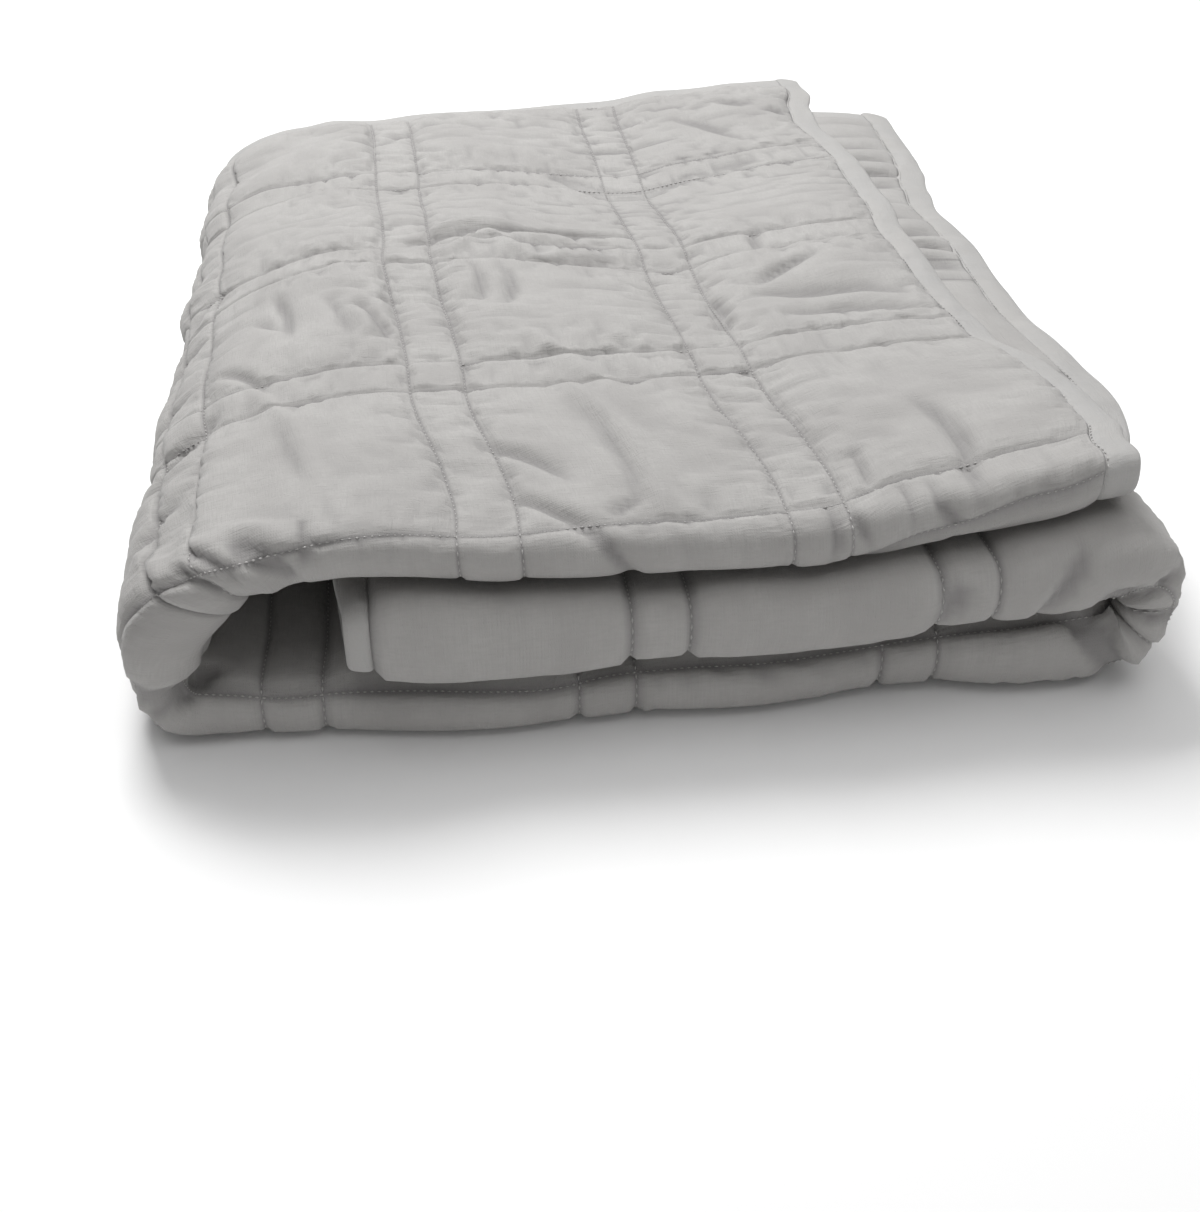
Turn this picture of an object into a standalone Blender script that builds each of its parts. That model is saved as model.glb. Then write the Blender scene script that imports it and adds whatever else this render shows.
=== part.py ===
"""Weighted blanket of quilted squares, folded in half and then in three.

The blanket is a padded quilt with a flat binding round its edge. It is folded once from
front to back, with the fold at the front, and the doubled cloth is then folded in three
from right to left, so that its inner end lies between the other two layers.

Two distances name a place on the flat cloth: "along" runs down the length from the end
that lies on top, and "across" runs over the width, from the fold at the front (0) to the
upper half's long edge (+) or the lower half's (-). All sizes are in metres, +Z up. The
origin is under the middle of the folded blanket, on the surface that it rests on.
"""

import math

import bpy
import numpy as np

# The flat cloth
SQUARE = 0.121             # plain square between two pairs of stitched lines
CHANNEL = 0.028            # the narrow strip between the two lines of a pair
BINDING = 0.020            # flat strip round the edge
SQUARES_LONG = 10
SQUARES_WIDE = 8
PITCH = SQUARE + CHANNEL
LENGTH = SQUARES_LONG * PITCH - CHANNEL + 2 * BINDING
WIDTH = SQUARES_WIDE * PITCH - CHANNEL + 2 * BINDING
HALF_WIDTH = WIDTH / 2

# Half thicknesses, from the middle of the padding to its face
SEAM = 0.0030              # at a stitched line
CHANNEL_PUFF = 0.0044      # in the narrow strips
SQUARE_PUFF = 0.0072       # in the squares
BINDING_HALF = 0.0018
SEAM_GAP = 0.0003          # between the quilt and its binding

# The folded pack, before it settles
PLY = 0.0080               # middle of one thickness from the middle of the doubled pack
LAYER = 0.033              # height of one doubled layer
TAKE_UP_ACROSS = 0.963     # the quilting draws the cloth in
QUARTER_NOSE = math.pi / 2 * PLY
TOP_END_X = 0.304          # where the top layer's free end lies
MIDDLE_X = 0.09935         # middle of the folded blanket, from the same mark
MIDDLE_Y = 0.28766
FLOOR_SINK = 0.0022        # the lowest squares press flat on the surface

# One row for each run or bend of the doubled pack, from the top layer's free end.
# cloth: length of cloth in it; run: straight length; radius, turn: its bend (degrees)
FOLD_PATH = (
    # name            cloth   run     radius  turn
    ("top layer",     0.430,  0.408,  0.0,      0),
    ("left shoulder", 0.077,  0.0,    0.036,   90),
    ("left side",     0.014,  0.0125, 0.0,      0),
    ("left heel",     0.037,  0.0,    0.0175,  90),
    ("bottom layer",  0.440,  0.422,  0.0,      0),
    ("right fold",    0.121,  0.0,    0.0165, 180),
    ("middle layer",  0.383,  0.361,  0.0,      0),
)

# How the front fold wanders down the length of the cloth.
# along: cloth from the top end; front: how far forward the fold lies (Y);
# roll: how much of the upper half goes over the fold to the front
FRONT_FOLD = (
    # along  front    roll
    (0.00,   0.0120, -0.022),
    (0.05,   0.0060, -0.017),
    (0.10,   0.0030, -0.011),
    (0.155, -0.0030, -0.004),
    (0.24,   0.0000,  0.001),
    (0.31,   0.0010,  0.004),
    (0.42,   0.0020,  0.010),
    (0.50,   0.0030,  0.000),
    (0.60,   0.0010, -0.006),
    (0.70,  -0.0070, -0.006),
    (0.76,  -0.0045, -0.006),
    (0.82,  -0.0070, -0.006),
    (0.90,   0.0000, -0.006),
    (0.96,  -0.0070, -0.004),
    (1.05,  -0.0070,  0.006),
    (1.18,  -0.0110,  0.033),
    (1.51,  -0.0110,  0.035),
)

# The top layer lies askew: how far its cloth is drawn to the left, at five distances
# along from its free end. across: place on the cloth
TOP_SKEW_AT = (0.0, 0.155, 0.31, 0.47, 0.60)
TOP_SKEW = (
    # across   end      first    second   shoulder  below
    (-0.62,  (-0.038,  -0.020,   0.000,   0.000,    0.004)),
    (-0.45,  (-0.030,  -0.014,   0.000,   0.000,    0.003)),
    (-0.14,  (-0.034,  -0.012,   0.000,   0.000,    0.001)),
    (-0.02,  (0.001,    0.000,   0.002,   0.000,    0.0)),
    (0.02,   (0.006,    0.002,   0.004,   0.004,    0.0)),
    (0.14,   (0.019,    0.019,   0.022,   0.010,    0.001)),
    (0.30,   (0.022,    0.024,   0.032,   0.014,    0.002)),
    (0.45,   (0.024,    0.029,   0.037,   0.018,    0.003)),
    (0.62,   (0.019,    0.032,   0.042,   0.020,    0.004)),
)

# The free end of the top layer is wavy: how far its cloth is drawn in (+) or pulled out
# (-), which fades away over a hand's width
END_REACH = 0.100
END_SHIFT = (
    # across  along
    (-0.60,  -0.012),
    (-0.51,  -0.012),
    (-0.48,  -0.010),
    (-0.44,  -0.002),
    (-0.40,   0.004),
    (-0.34,  -0.001),
    (-0.29,   0.002),
    (-0.24,   0.002),
    (-0.15,  -0.007),
    (-0.10,  -0.007),
    (-0.02,  -0.001),
    (0.000,  -0.005),
    (0.030,  -0.015),
    (0.080,  -0.024),
    (0.100,  -0.022),
    (0.150,  -0.010),
    (0.200,  -0.006),
    (0.280,  -0.006),
    (0.350,  -0.011),
    (0.430,  -0.014),
    (0.460,  -0.012),
    (0.510,  -0.003),
    (0.540,  -0.003),
    (0.570,  -0.009),
    (0.600,  -0.006),
)
END_DROOP = 0.0070         # the upper half's free end hangs down onto the lower half
END_DROOP_LENGTH = 0.060
END_DROOP_CURVE = 1.6
END_DROOP_FROM = 0.020     # and does so from this distance behind the front fold
END_DROOP_WIDTH = 0.120
TOP_DROOP = 1.6            # droop of the top layer's free end, per metre squared
DROOP_FROM_X = 0.285
RIGHT_BULGE = 1.8          # the right fold is fat and round, per metre squared
BULGE_FROM_X = 0.268
HEEL_CORNER = 0.011        # the lower left corner is pushed out square by this
HEEL_SIZE = 0.036
HEEL_X = -0.116

# Heights of the tops of the lowest layer, the middle layer and the top layer, over the
# depth of the stack (rows, Y) and its width (columns, X)
LEVEL_AT_X = (-0.14, -0.05, 0.02, 0.14, 0.30)
LOWEST_TOPS = (
    # depth   left    hump    mid-left mid-right right
    (-0.02,  (0.036,  0.036,  0.035,   0.037,    0.046)),
    (0.10,   (0.034,  0.034,  0.035,   0.036,    0.038)),
    (0.60,   (0.028,  0.028,  0.028,   0.028,    0.030)),
)
MIDDLE_TOPS = (
    # depth   left    hump    mid-left mid-right right
    (-0.02,  (0.075,  0.084,  0.076,   0.076,    0.091)),
    (0.10,   (0.069,  0.078,  0.076,   0.074,    0.078)),
    (0.26,   (0.063,  0.072,  0.073,   0.067,    0.073)),
    (0.60,   (0.052,  0.054,  0.057,   0.061,    0.065)),
)
TOP_TOPS = (
    # depth   left    hump    mid-left mid-right right
    (-0.02,  (0.104,  0.115,  0.108,   0.110,    0.128)),
    (0.12,   (0.100,  0.114,  0.113,   0.113,    0.114)),
    (0.26,   (0.093,  0.112,  0.111,   0.100,    0.109)),
    (0.41,   (0.084,  0.097,  0.095,   0.084,    0.094)),
    (0.60,   (0.077,  0.084,  0.087,   0.091,    0.094)),
)

# The filling sags into the left side, so that the fold is thickest above its middle
SAG_FROM_X = -0.160
SAG_WIDEST_X = -0.120
SAG_TO_X = -0.060
SAG_AT_HEIGHT = (
    # height  sideways
    (0.034,   0.000),
    (0.046,   0.010),
    (0.073,   0.021),
    (0.090,   0.013),
    (0.106,   0.000),
)

SAG_LESS_BEHIND = 0.7      # the sag is smaller by this share from a certain depth on
SAG_DEPTH = 0.20

# Where the cloth is measured within a square, as parts of its width
PARTS_OF_SQUARE = (0.27, 0.73)
PARTS_OF_BENT_SQUARE = (0.12, 0.24, 0.38, 0.5, 0.62, 0.76, 0.88)
PARTS_OF_BENT_CHANNEL = (0.33, 0.67)
BENT_ALONG = ((0.41, 0.60), (0.98, 1.14))      # cloth that goes round the side folds
NEAR_FRONT_FOLD = (0.0, 0.0045, 0.0092, 0.014, 0.020, 0.027, 0.035, 0.046, 0.075, 0.106)

CLOTH_COLOUR = (0.400, 0.391, 0.380, 1.0)
BINDING_COLOUR = (0.405, 0.400, 0.394, 1.0)
CLOTH_ROUGHNESS = 0.90


def eased(x, table, column):
    """Read a table of (place, value, ...) rows at x, on a smooth curve without overshoot."""
    places = np.array([row[0] for row in table])
    values = np.array([row[column] for row in table])
    x = np.clip(np.asarray(x, float), places[0], places[-1])
    row = np.clip(np.searchsorted(places, x, side="right") - 1, 0, len(places) - 2)
    share = (x - places[row]) / (places[row + 1] - places[row])
    share = share * share * (3.0 - 2.0 * share)
    return values[row] + (values[row + 1] - values[row]) * share


def path_distance(along):
    """Distance along the fold path for a length of cloth from the top end."""
    cloth_marks = [0.0]
    path_marks = [0.0]
    for _, cloth, run, radius, turn in FOLD_PATH:
        cloth_marks.append(cloth_marks[-1] + cloth)
        path_marks.append(path_marks[-1] + run + radius * math.radians(turn))
    return np.interp(along, cloth_marks, path_marks)


def pack_line(distance):
    """Middle line of the doubled pack: x, z and heading at a distance along the path."""
    x = np.zeros_like(distance)
    z = np.zeros_like(distance)
    heading = np.zeros_like(distance)
    start_x, start_z, start_heading = TOP_END_X, 2.5 * LAYER, math.pi
    passed = 0.0
    for row, (_, _, run, radius, turn) in enumerate(FOLD_PATH):
        turn = math.radians(turn)
        first = row == 0
        here = distance >= passed if not first else np.full(distance.shape, True)
        here_by = distance - passed
        if turn:
            angle = start_heading + here_by / radius
            here_x = start_x + radius * (np.sin(angle) - math.sin(start_heading))
            here_z = start_z - radius * (np.cos(angle) - math.cos(start_heading))
            end_heading = start_heading + turn
            end_x = start_x + radius * (math.sin(end_heading) - math.sin(start_heading))
            end_z = start_z - radius * (math.cos(end_heading) - math.cos(start_heading))
        else:
            angle = np.full(distance.shape, start_heading)
            here_x = start_x + here_by * math.cos(start_heading)
            here_z = start_z + here_by * math.sin(start_heading)
            end_heading = start_heading
            end_x = start_x + run * math.cos(start_heading)
            end_z = start_z + run * math.sin(start_heading)
        x = np.where(here, here_x, x)
        z = np.where(here, here_z, z)
        heading = np.where(here, angle, heading)
        passed += run + radius * turn
        start_x, start_z, start_heading = end_x, end_z, end_heading
    return x, z, heading


def within_pitch(place, first_line):
    """Place within a square (0 to 1), and within the channel after it (0 to 1)."""
    offset = np.mod(place - first_line, PITCH)
    return np.clip(offset / SQUARE, 0, 1), np.clip((offset - SQUARE) / CHANNEL, 0, 1)


def swell(share):
    """Full in the middle of a padded strip and nothing at its two stitched lines."""
    return 1.0 - np.abs(2.0 * share - 1.0) ** 3


def half_thickness(along, across):
    """Half thickness of the quilt: squares and narrow strips that swell between seams."""
    square_a, channel_a = within_pitch(along, BINDING)
    square_b, channel_b = within_pitch(across, CHANNEL / 2)
    in_square_a = channel_a <= 0
    in_square_b = channel_b <= 0
    swell_a = np.where(in_square_a, swell(square_a), swell(channel_a))
    swell_b = np.where(in_square_b, swell(square_b), swell(channel_b))
    most = np.where(in_square_a & in_square_b, SQUARE_PUFF, CHANNEL_PUFF)
    return SEAM + (most - SEAM) * np.minimum(swell_a, swell_b)


def read_map(row_place, column_place, column_marks, table):
    """Read a table of (place, values across the columns) rows, smoothly both ways."""
    marks = np.array(column_marks)
    place = np.clip(column_place, marks[0], marks[-1])
    column = np.clip(np.searchsorted(marks, place, side="right") - 1, 0, len(marks) - 2)
    share = (place - marks[column]) / (marks[column + 1] - marks[column])
    share = share * share * (3.0 - 2.0 * share)
    readings = [
        eased(row_place, [(row, values[i]) for row, values in table], 1)
        for i in range(len(marks))
    ]
    readings = np.array(readings)
    before = np.take_along_axis(readings, column[None], axis=0)[0]
    after = np.take_along_axis(readings, column[None] + 1, axis=0)[0]
    return before + (after - before) * share


def end_slide(along, across):
    """How far the wavy free end shifts the cloth: all of it in the binding, and less and
    less on the way into the quilt."""
    near_end = np.clip((END_REACH - along) / (END_REACH - BINDING), 0, 1)
    return eased(across, END_SHIFT, 1) * near_end * near_end * (3.0 - 2.0 * near_end)


def end_hang(along, across):
    """How far the upper half's free end hangs down, most at its edge."""
    near_end = np.clip((END_DROOP_LENGTH - along) / END_DROOP_LENGTH, 0, 1)
    behind_fold = np.clip((across - END_DROOP_FROM) / END_DROOP_WIDTH, 0, 1)
    return END_DROOP * near_end ** END_DROOP_CURVE * behind_fold


def settle(x, y, z):
    """Let the even stack sink to its uneven heights, layer by layer, without crossing."""
    first = read_map(y, x, LEVEL_AT_X, LOWEST_TOPS)
    second = read_map(y, x, LEVEL_AT_X, MIDDLE_TOPS)
    third = read_map(y, x, LEVEL_AT_X, TOP_TOPS)
    level = z / LAYER
    twice = second - 2 * first
    thrice = third - 3 * second + 3 * first
    return (first * level + twice * level * (level - 1) / 2
            + thrice * level * (level - 1) * (level - 2) / 6)


def sag_and_square(x, y, z):
    """Thicken the left side where its filling sags, and square its lower corner."""
    rise = np.clip((x - SAG_FROM_X) / (SAG_WIDEST_X - SAG_FROM_X), 0, 1)
    fall = np.clip((SAG_TO_X - x) / (SAG_TO_X - SAG_WIDEST_X), 0, 1)
    sag = np.sin(math.pi / 2 * np.minimum(rise, fall)) ** 2 * eased(z, SAG_AT_HEIGHT, 1)
    sag = sag * (1 - SAG_LESS_BEHIND * np.clip(y / SAG_DEPTH, 0, 1))
    low = np.clip(1.0 - z / HEEL_SIZE, 0, 1) ** 2
    corner = np.clip((HEEL_X - x) / HEEL_SIZE, 0, 1) ** 2
    return x + sag - HEEL_CORNER * low * corner


def folded(along, across, offset):
    """Place a point of the cloth in the folded blanket.

    offset is its distance from the middle of the padding, outwards (+) or towards the
    other half of the fold (-).
    """
    along, across, offset = np.broadcast_arrays(along, across, offset)
    offset = offset - end_hang(along, across)
    skew = read_map(across, along, TOP_SKEW_AT, TOP_SKEW)
    x, z, heading = pack_line(path_distance(along) + skew + end_slide(along, across))
    round_fold = TAKE_UP_ACROSS * (across - eased(along, FRONT_FOLD, 2))
    angle = np.clip(round_fold / PLY, -math.pi / 2, math.pi / 2)
    behind = np.maximum(np.abs(round_fold) - QUARTER_NOSE, 0.0)
    y = eased(along, FRONT_FOLD, 1) + behind - (PLY + offset) * np.cos(angle)
    outwards = (PLY + offset) * np.sin(angle)
    x = x + outwards * np.sin(heading)
    z = z - outwards * np.cos(heading)
    on_top = along < FOLD_PATH[0][1]
    bulge = RIGHT_BULGE * np.clip(x - BULGE_FROM_X, 0, None) ** 2
    x = np.where(on_top, x, x + bulge)
    droop = TOP_DROOP * np.clip(x - DROOP_FROM_X, 0, None) ** 2
    z = settle(x, y, z) - np.where(on_top, droop, 0.0)
    x = sag_and_square(x, y, z)
    z = np.maximum(z - FLOOR_SINK, 0.0)
    return np.stack([x - MIDDLE_X, y - MIDDLE_Y, z], axis=-1)


def strip_marks(count, first, bent):
    """Places of the cloth's measured lines across one direction of squares."""
    marks = []
    for i in range(count):
        start = first + i * PITCH
        mid = start + SQUARE / 2
        is_bent = any(low < mid < high for low, high in bent)
        parts = PARTS_OF_BENT_SQUARE if is_bent else PARTS_OF_SQUARE
        marks.append(start)
        marks.extend(start + part * SQUARE for part in parts)
        marks.append(start + SQUARE)
        gap_mid = start + SQUARE + CHANNEL / 2
        if i < count - 1 and any(low < gap_mid < high for low, high in bent):
            marks.extend(start + SQUARE + part * CHANNEL for part in PARTS_OF_BENT_CHANNEL)
    return np.array(marks)


def marks_along():
    return strip_marks(SQUARES_LONG, BINDING, BENT_ALONG)


def marks_across():
    """Even squares away from the front fold, and closer lines round it."""
    outer = strip_marks(SQUARES_WIDE // 2 - 1, CHANNEL / 2 + PITCH, ())
    half = np.concatenate([NEAR_FRONT_FOLD[1:], [CHANNEL / 2 + SQUARE], outer])
    return np.concatenate([-half[::-1], [0.0], half])


def skin(along, across, half):
    """Closed skin of a stretch of cloth: an outer face, an inner face and a rim.

    along and across are the measured lines, and half is the half thickness at each of
    their crossings.
    """
    rows, columns = np.meshgrid(along, across, indexing="ij")
    outer = folded(rows, columns, half).reshape(-1, 3)
    inner = folded(rows, columns, -half).reshape(-1, 3)
    n, m = len(along), len(across)
    number = np.arange(n * m).reshape(n, m)
    a, b = number[:-1, :-1].ravel(), number[1:, :-1].ravel()
    c, d = number[1:, 1:].ravel(), number[:-1, 1:].ravel()
    faces = np.stack([a, d, c, b], 1).tolist() + (np.stack([b, c, d, a], 1) + n * m).tolist()
    rim = []
    edge = np.concatenate([number[0, :], number[1:, -1], number[-1, -2::-1], number[-2:0:-1, 0]])
    for near, far in zip(edge.tolist(), np.roll(edge, -1).tolist()):
        low_in, high_in = near + n * m, far + n * m
        if near < far:
            rim += [(far, near, high_in), (near, low_in, high_in)]
        else:
            rim += [(far, near, low_in), (far, low_in, high_in)]
    return np.concatenate([outer, inner]), faces + rim


def material(name, colour):
    cloth = bpy.data.materials.new(name)
    cloth.use_nodes = True
    shader = cloth.node_tree.nodes["Principled BSDF"]
    shader.inputs["Base Color"].default_value = colour
    shader.inputs["Roughness"].default_value = CLOTH_ROUGHNESS
    shader.inputs["Metallic"].default_value = 0.0
    return cloth


def add_piece(name, points, faces, cloth, collection):
    mesh = bpy.data.meshes.new(name)
    mesh.from_pydata(points.tolist(), [], faces)
    mesh.update()
    mesh.materials.append(cloth)
    mesh.shade_smooth()
    piece = bpy.data.objects.new(name, mesh)
    collection.objects.link(piece)
    return piece


def add_quilt(cloth, collection):
    along = marks_along()
    across = marks_across()
    half = half_thickness(along[:, None], across[None, :])
    points, faces = skin(along, across, half)
    return add_piece("quilt", points, faces, cloth, collection)


def add_bindings(cloth, collection):
    """Four strips: one over each end, the full width, and one down each long side."""
    inner = BINDING - SEAM_GAP
    across = marks_across()
    full = np.concatenate([[-HALF_WIDTH], across, [HALF_WIDTH]])
    along = marks_along()
    sides = {
        "binding_top_end": (np.array([0.0, inner]), full),
        "binding_inner_end": (np.array([LENGTH - inner, LENGTH]), full),
        "binding_upper_side": (along, np.array([HALF_WIDTH - inner, HALF_WIDTH])),
        "binding_lower_side": (along, np.array([-HALF_WIDTH, -HALF_WIDTH + inner])),
    }
    for name, (down, over) in sides.items():
        from_edge = np.minimum(
            np.minimum(down, LENGTH - down)[:, None],
            np.minimum(over + HALF_WIDTH, HALF_WIDTH - over)[None, :],
        )
        half = BINDING_HALF + (SEAM - BINDING_HALF) * np.clip(from_edge / inner, 0, 1)
        points, faces = skin(down, over, half)
        add_piece(name, points, faces, cloth, collection)


def main():
    for old in list(bpy.data.objects):
        bpy.data.objects.remove(old, do_unlink=True)
    collection = bpy.data.collections.new("weighted_blanket")
    bpy.context.scene.collection.children.link(collection)
    quilt_cloth = material("quilt_cotton", CLOTH_COLOUR)
    binding_cloth = material("binding_cotton", BINDING_COLOUR)
    add_quilt(quilt_cloth, collection)
    add_bindings(binding_cloth, collection)


main()
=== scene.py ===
# %% [markdown]
# # A folded weighted blanket
#
# A weighted blanket is a heavy quilt: two faces of grey cotton with beads and padding
# between them, sewn through in squares so that the beads can't slide. This one is folded
# in half, then in three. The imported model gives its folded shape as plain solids. This
# lesson gives each of them the surface of real cloth: full squares, drawn-in seams,
# wrinkles, a bound edge and thread.

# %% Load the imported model
import math
import bpy
import numpy as np
from mathutils import Matrix, Vector


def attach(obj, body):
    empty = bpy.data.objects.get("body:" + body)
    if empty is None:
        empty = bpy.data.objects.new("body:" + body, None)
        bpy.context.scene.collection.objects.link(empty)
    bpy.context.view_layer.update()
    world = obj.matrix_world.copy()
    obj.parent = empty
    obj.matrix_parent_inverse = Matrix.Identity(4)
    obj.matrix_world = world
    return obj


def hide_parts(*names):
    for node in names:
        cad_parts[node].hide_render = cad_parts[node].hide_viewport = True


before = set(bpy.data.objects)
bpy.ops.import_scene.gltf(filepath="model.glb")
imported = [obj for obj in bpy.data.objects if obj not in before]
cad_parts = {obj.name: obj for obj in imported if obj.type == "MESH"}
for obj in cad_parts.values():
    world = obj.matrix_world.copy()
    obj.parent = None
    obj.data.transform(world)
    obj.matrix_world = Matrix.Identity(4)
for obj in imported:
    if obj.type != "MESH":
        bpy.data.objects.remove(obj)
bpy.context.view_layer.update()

print("solids:", sorted(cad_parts))

# %% [markdown]
# ## The flat cloth
#
# The blanket is easiest to think of flat. "along" runs down its length, from the end that
# will lie on top, and "across" runs over its width, from the line where it is folded in
# half: positive on the half that ends up outside, negative on the other. All sizes are in
# metres. Pairs of stitched lines part the squares, with a narrow strip between the two.

# %% Sizes of the flat cloth
SQUARE = 0.121             # plain square between two pairs of stitched lines
STRIP = 0.028              # the narrow strip between the two lines of a pair
BINDING = 0.020            # flat strip round the edge
PITCH = SQUARE + STRIP
SQUARES_LONG = 10
SQUARES_HALF = 4
LENGTH = SQUARES_LONG * PITCH - STRIP + 2 * BINDING
HALF_WIDTH = SQUARES_HALF * PITCH - STRIP / 2 + BINDING
print(f"flat cloth {LENGTH:.3f} x {2 * HALF_WIDTH:.3f} m")

# %% [markdown]
# ## The folds
#
# The solids were made by rolling the flat cloth along a path and round a long front fold,
# so the same rule has to place every point of the finished cloth, or the cloth would leave
# its solids. The rule is repeated here with the same named sizes. A table gives a value at
# a few places, and "eased" reads it in between with a curve that never overshoots.

# %% Reading small tables smoothly
def eased(x, table, column):
    """Value at x from rows of (place, value, ...): between two rows it goes from one value
    to the next by 3u^2 - 2u^3, where u is the share of the way."""
    places = np.array([row[0] for row in table])
    values = np.array([row[column] for row in table])
    x = np.clip(np.asarray(x, float), places[0], places[-1])
    row = np.clip(np.searchsorted(places, x, side="right") - 1, 0, len(places) - 2)
    u = (x - places[row]) / (places[row + 1] - places[row])
    return values[row] + (values[row + 1] - values[row]) * (3 - 2 * u) * u * u


def read_map(row_place, column_place, column_marks, table):
    """Value from a table with rows in one direction and columns in the other: each column
    is eased down its rows, and the two nearest columns are eased across."""
    marks = np.array(column_marks)
    place = np.clip(column_place, marks[0], marks[-1])
    column = np.clip(np.searchsorted(marks, place, side="right") - 1, 0, len(marks) - 2)
    u = (place - marks[column]) / (marks[column + 1] - marks[column])
    readings = np.array([
        eased(row_place, [(row, values[i]) for row, values in table], 1)
        for i in range(len(marks))
    ])
    before = np.take_along_axis(readings, column[None], axis=0)[0]
    after = np.take_along_axis(readings, column[None] + 1, axis=0)[0]
    return before + (after - before) * (3 - 2 * u) * u * u


# %% The path of the doubled cloth
PLY = 0.0080               # middle of one thickness from the middle of the doubled pack
LAYER = 0.033              # height of one doubled layer before it settles
TAKE_UP_ACROSS = 0.963     # the quilting draws the cloth in
QUARTER_NOSE = math.pi / 2 * PLY
TOP_END_X = 0.304          # where the top layer's free end lies,
TOP_LEVEL = 2.5            # and its middle, counted in layers from the floor
MIDDLE_X, MIDDLE_Y = 0.09935, 0.28766
FOLD_PATH = (
    # name            cloth   run     radius  turn
    ("top layer",     0.430,  0.408,  0.0,      0),
    ("left shoulder", 0.077,  0.0,    0.036,   90),
    ("left side",     0.014,  0.0125, 0.0,      0),
    ("left heel",     0.037,  0.0,    0.0175,  90),
    ("bottom layer",  0.440,  0.422,  0.0,      0),
    ("right fold",    0.121,  0.0,    0.0165, 180),
    ("middle layer",  0.383,  0.361,  0.0,      0),
)


def path_distance(along):
    """Distance along the fold path for a length of cloth, in proportion in each section."""
    cloth_marks, path_marks = [0.0], [0.0]
    for _, cloth, run, radius, turn in FOLD_PATH:
        cloth_marks.append(cloth_marks[-1] + cloth)
        path_marks.append(path_marks[-1] + run + radius * math.radians(turn))
    return np.interp(along, cloth_marks, path_marks)


def step_on(x, z, heading, radius, by):
    """x, z and heading after going on by some distance: straight on where the radius is
    0, and otherwise round a circle of that radius."""
    if not radius:
        return x + by * math.cos(heading), z + by * math.sin(heading), heading + 0 * by
    angle = heading + by / radius
    return (x + radius * (np.sin(angle) - math.sin(heading)),
            z - radius * (np.cos(angle) - math.cos(heading)), angle)


def pack_line(distance):
    """x, z and heading at a distance along the middle of the pack: straight runs joined by
    arcs of a circle, each starting where the one before it ended."""
    line = [np.zeros_like(distance) for _ in range(3)]
    start, passed = (TOP_END_X, TOP_LEVEL * LAYER, math.pi), 0.0
    for row, (_, _, run, radius, turn) in enumerate(FOLD_PATH):
        here = (distance >= passed) | (row == 0)
        reached = step_on(*start, radius, distance - passed)
        line = [np.where(here, new, old) for new, old in zip(reached, line)]
        length = run + radius * math.radians(turn)
        start = step_on(*start, radius, length)
        passed += length
    return line


print(f"path {path_distance(LENGTH):.3f} m for {LENGTH:.3f} m of cloth")

# %% [markdown]
# ## How the stack lies
#
# No stack of heavy cloth lies true. The front fold wanders, the top layer is drawn askew,
# the stack is higher in front than behind, and the filling sags into the left side. Each
# of these is a short table measured against the blanket's stitched lines.

# %% The front fold and the skewed top layer
FRONT_FOLD = (
    # along  front    roll
    (0.00,   0.0120, -0.022),
    (0.05,   0.0060, -0.017),
    (0.10,   0.0030, -0.011),
    (0.155, -0.0030, -0.004),
    (0.24,   0.0000,  0.001),
    (0.31,   0.0010,  0.004),
    (0.42,   0.0020,  0.010),
    (0.50,   0.0030,  0.000),
    (0.60,   0.0010, -0.006),
    (0.70,  -0.0070, -0.006),
    (0.76,  -0.0045, -0.006),
    (0.82,  -0.0070, -0.006),
    (0.90,   0.0000, -0.006),
    (0.96,  -0.0070, -0.004),
    (1.05,  -0.0070,  0.006),
    (1.18,  -0.0110,  0.033),
    (1.51,  -0.0110,  0.035),
)
TOP_SKEW_AT = (0.0, 0.155, 0.31, 0.47, 0.60)
TOP_SKEW = (
    # across   end      first    second   shoulder  below
    (-0.62,  (-0.038,  -0.020,   0.000,   0.000,    0.004)),
    (-0.45,  (-0.030,  -0.014,   0.000,   0.000,    0.003)),
    (-0.14,  (-0.034,  -0.012,   0.000,   0.000,    0.001)),
    (-0.02,  (0.001,    0.000,   0.002,   0.000,    0.0)),
    (0.02,   (0.006,    0.002,   0.004,   0.004,    0.0)),
    (0.14,   (0.019,    0.019,   0.022,   0.010,    0.001)),
    (0.30,   (0.022,    0.024,   0.032,   0.014,    0.002)),
    (0.45,   (0.024,    0.029,   0.037,   0.018,    0.003)),
    (0.62,   (0.019,    0.032,   0.042,   0.020,    0.004)),
)
TOP_DROOP, DROOP_FROM_X = 1.6, 0.285       # by a square: the top layer's end sinks,
RIGHT_BULGE, BULGE_FROM_X = 1.8, 0.268     # and the right fold below it bulges out

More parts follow.
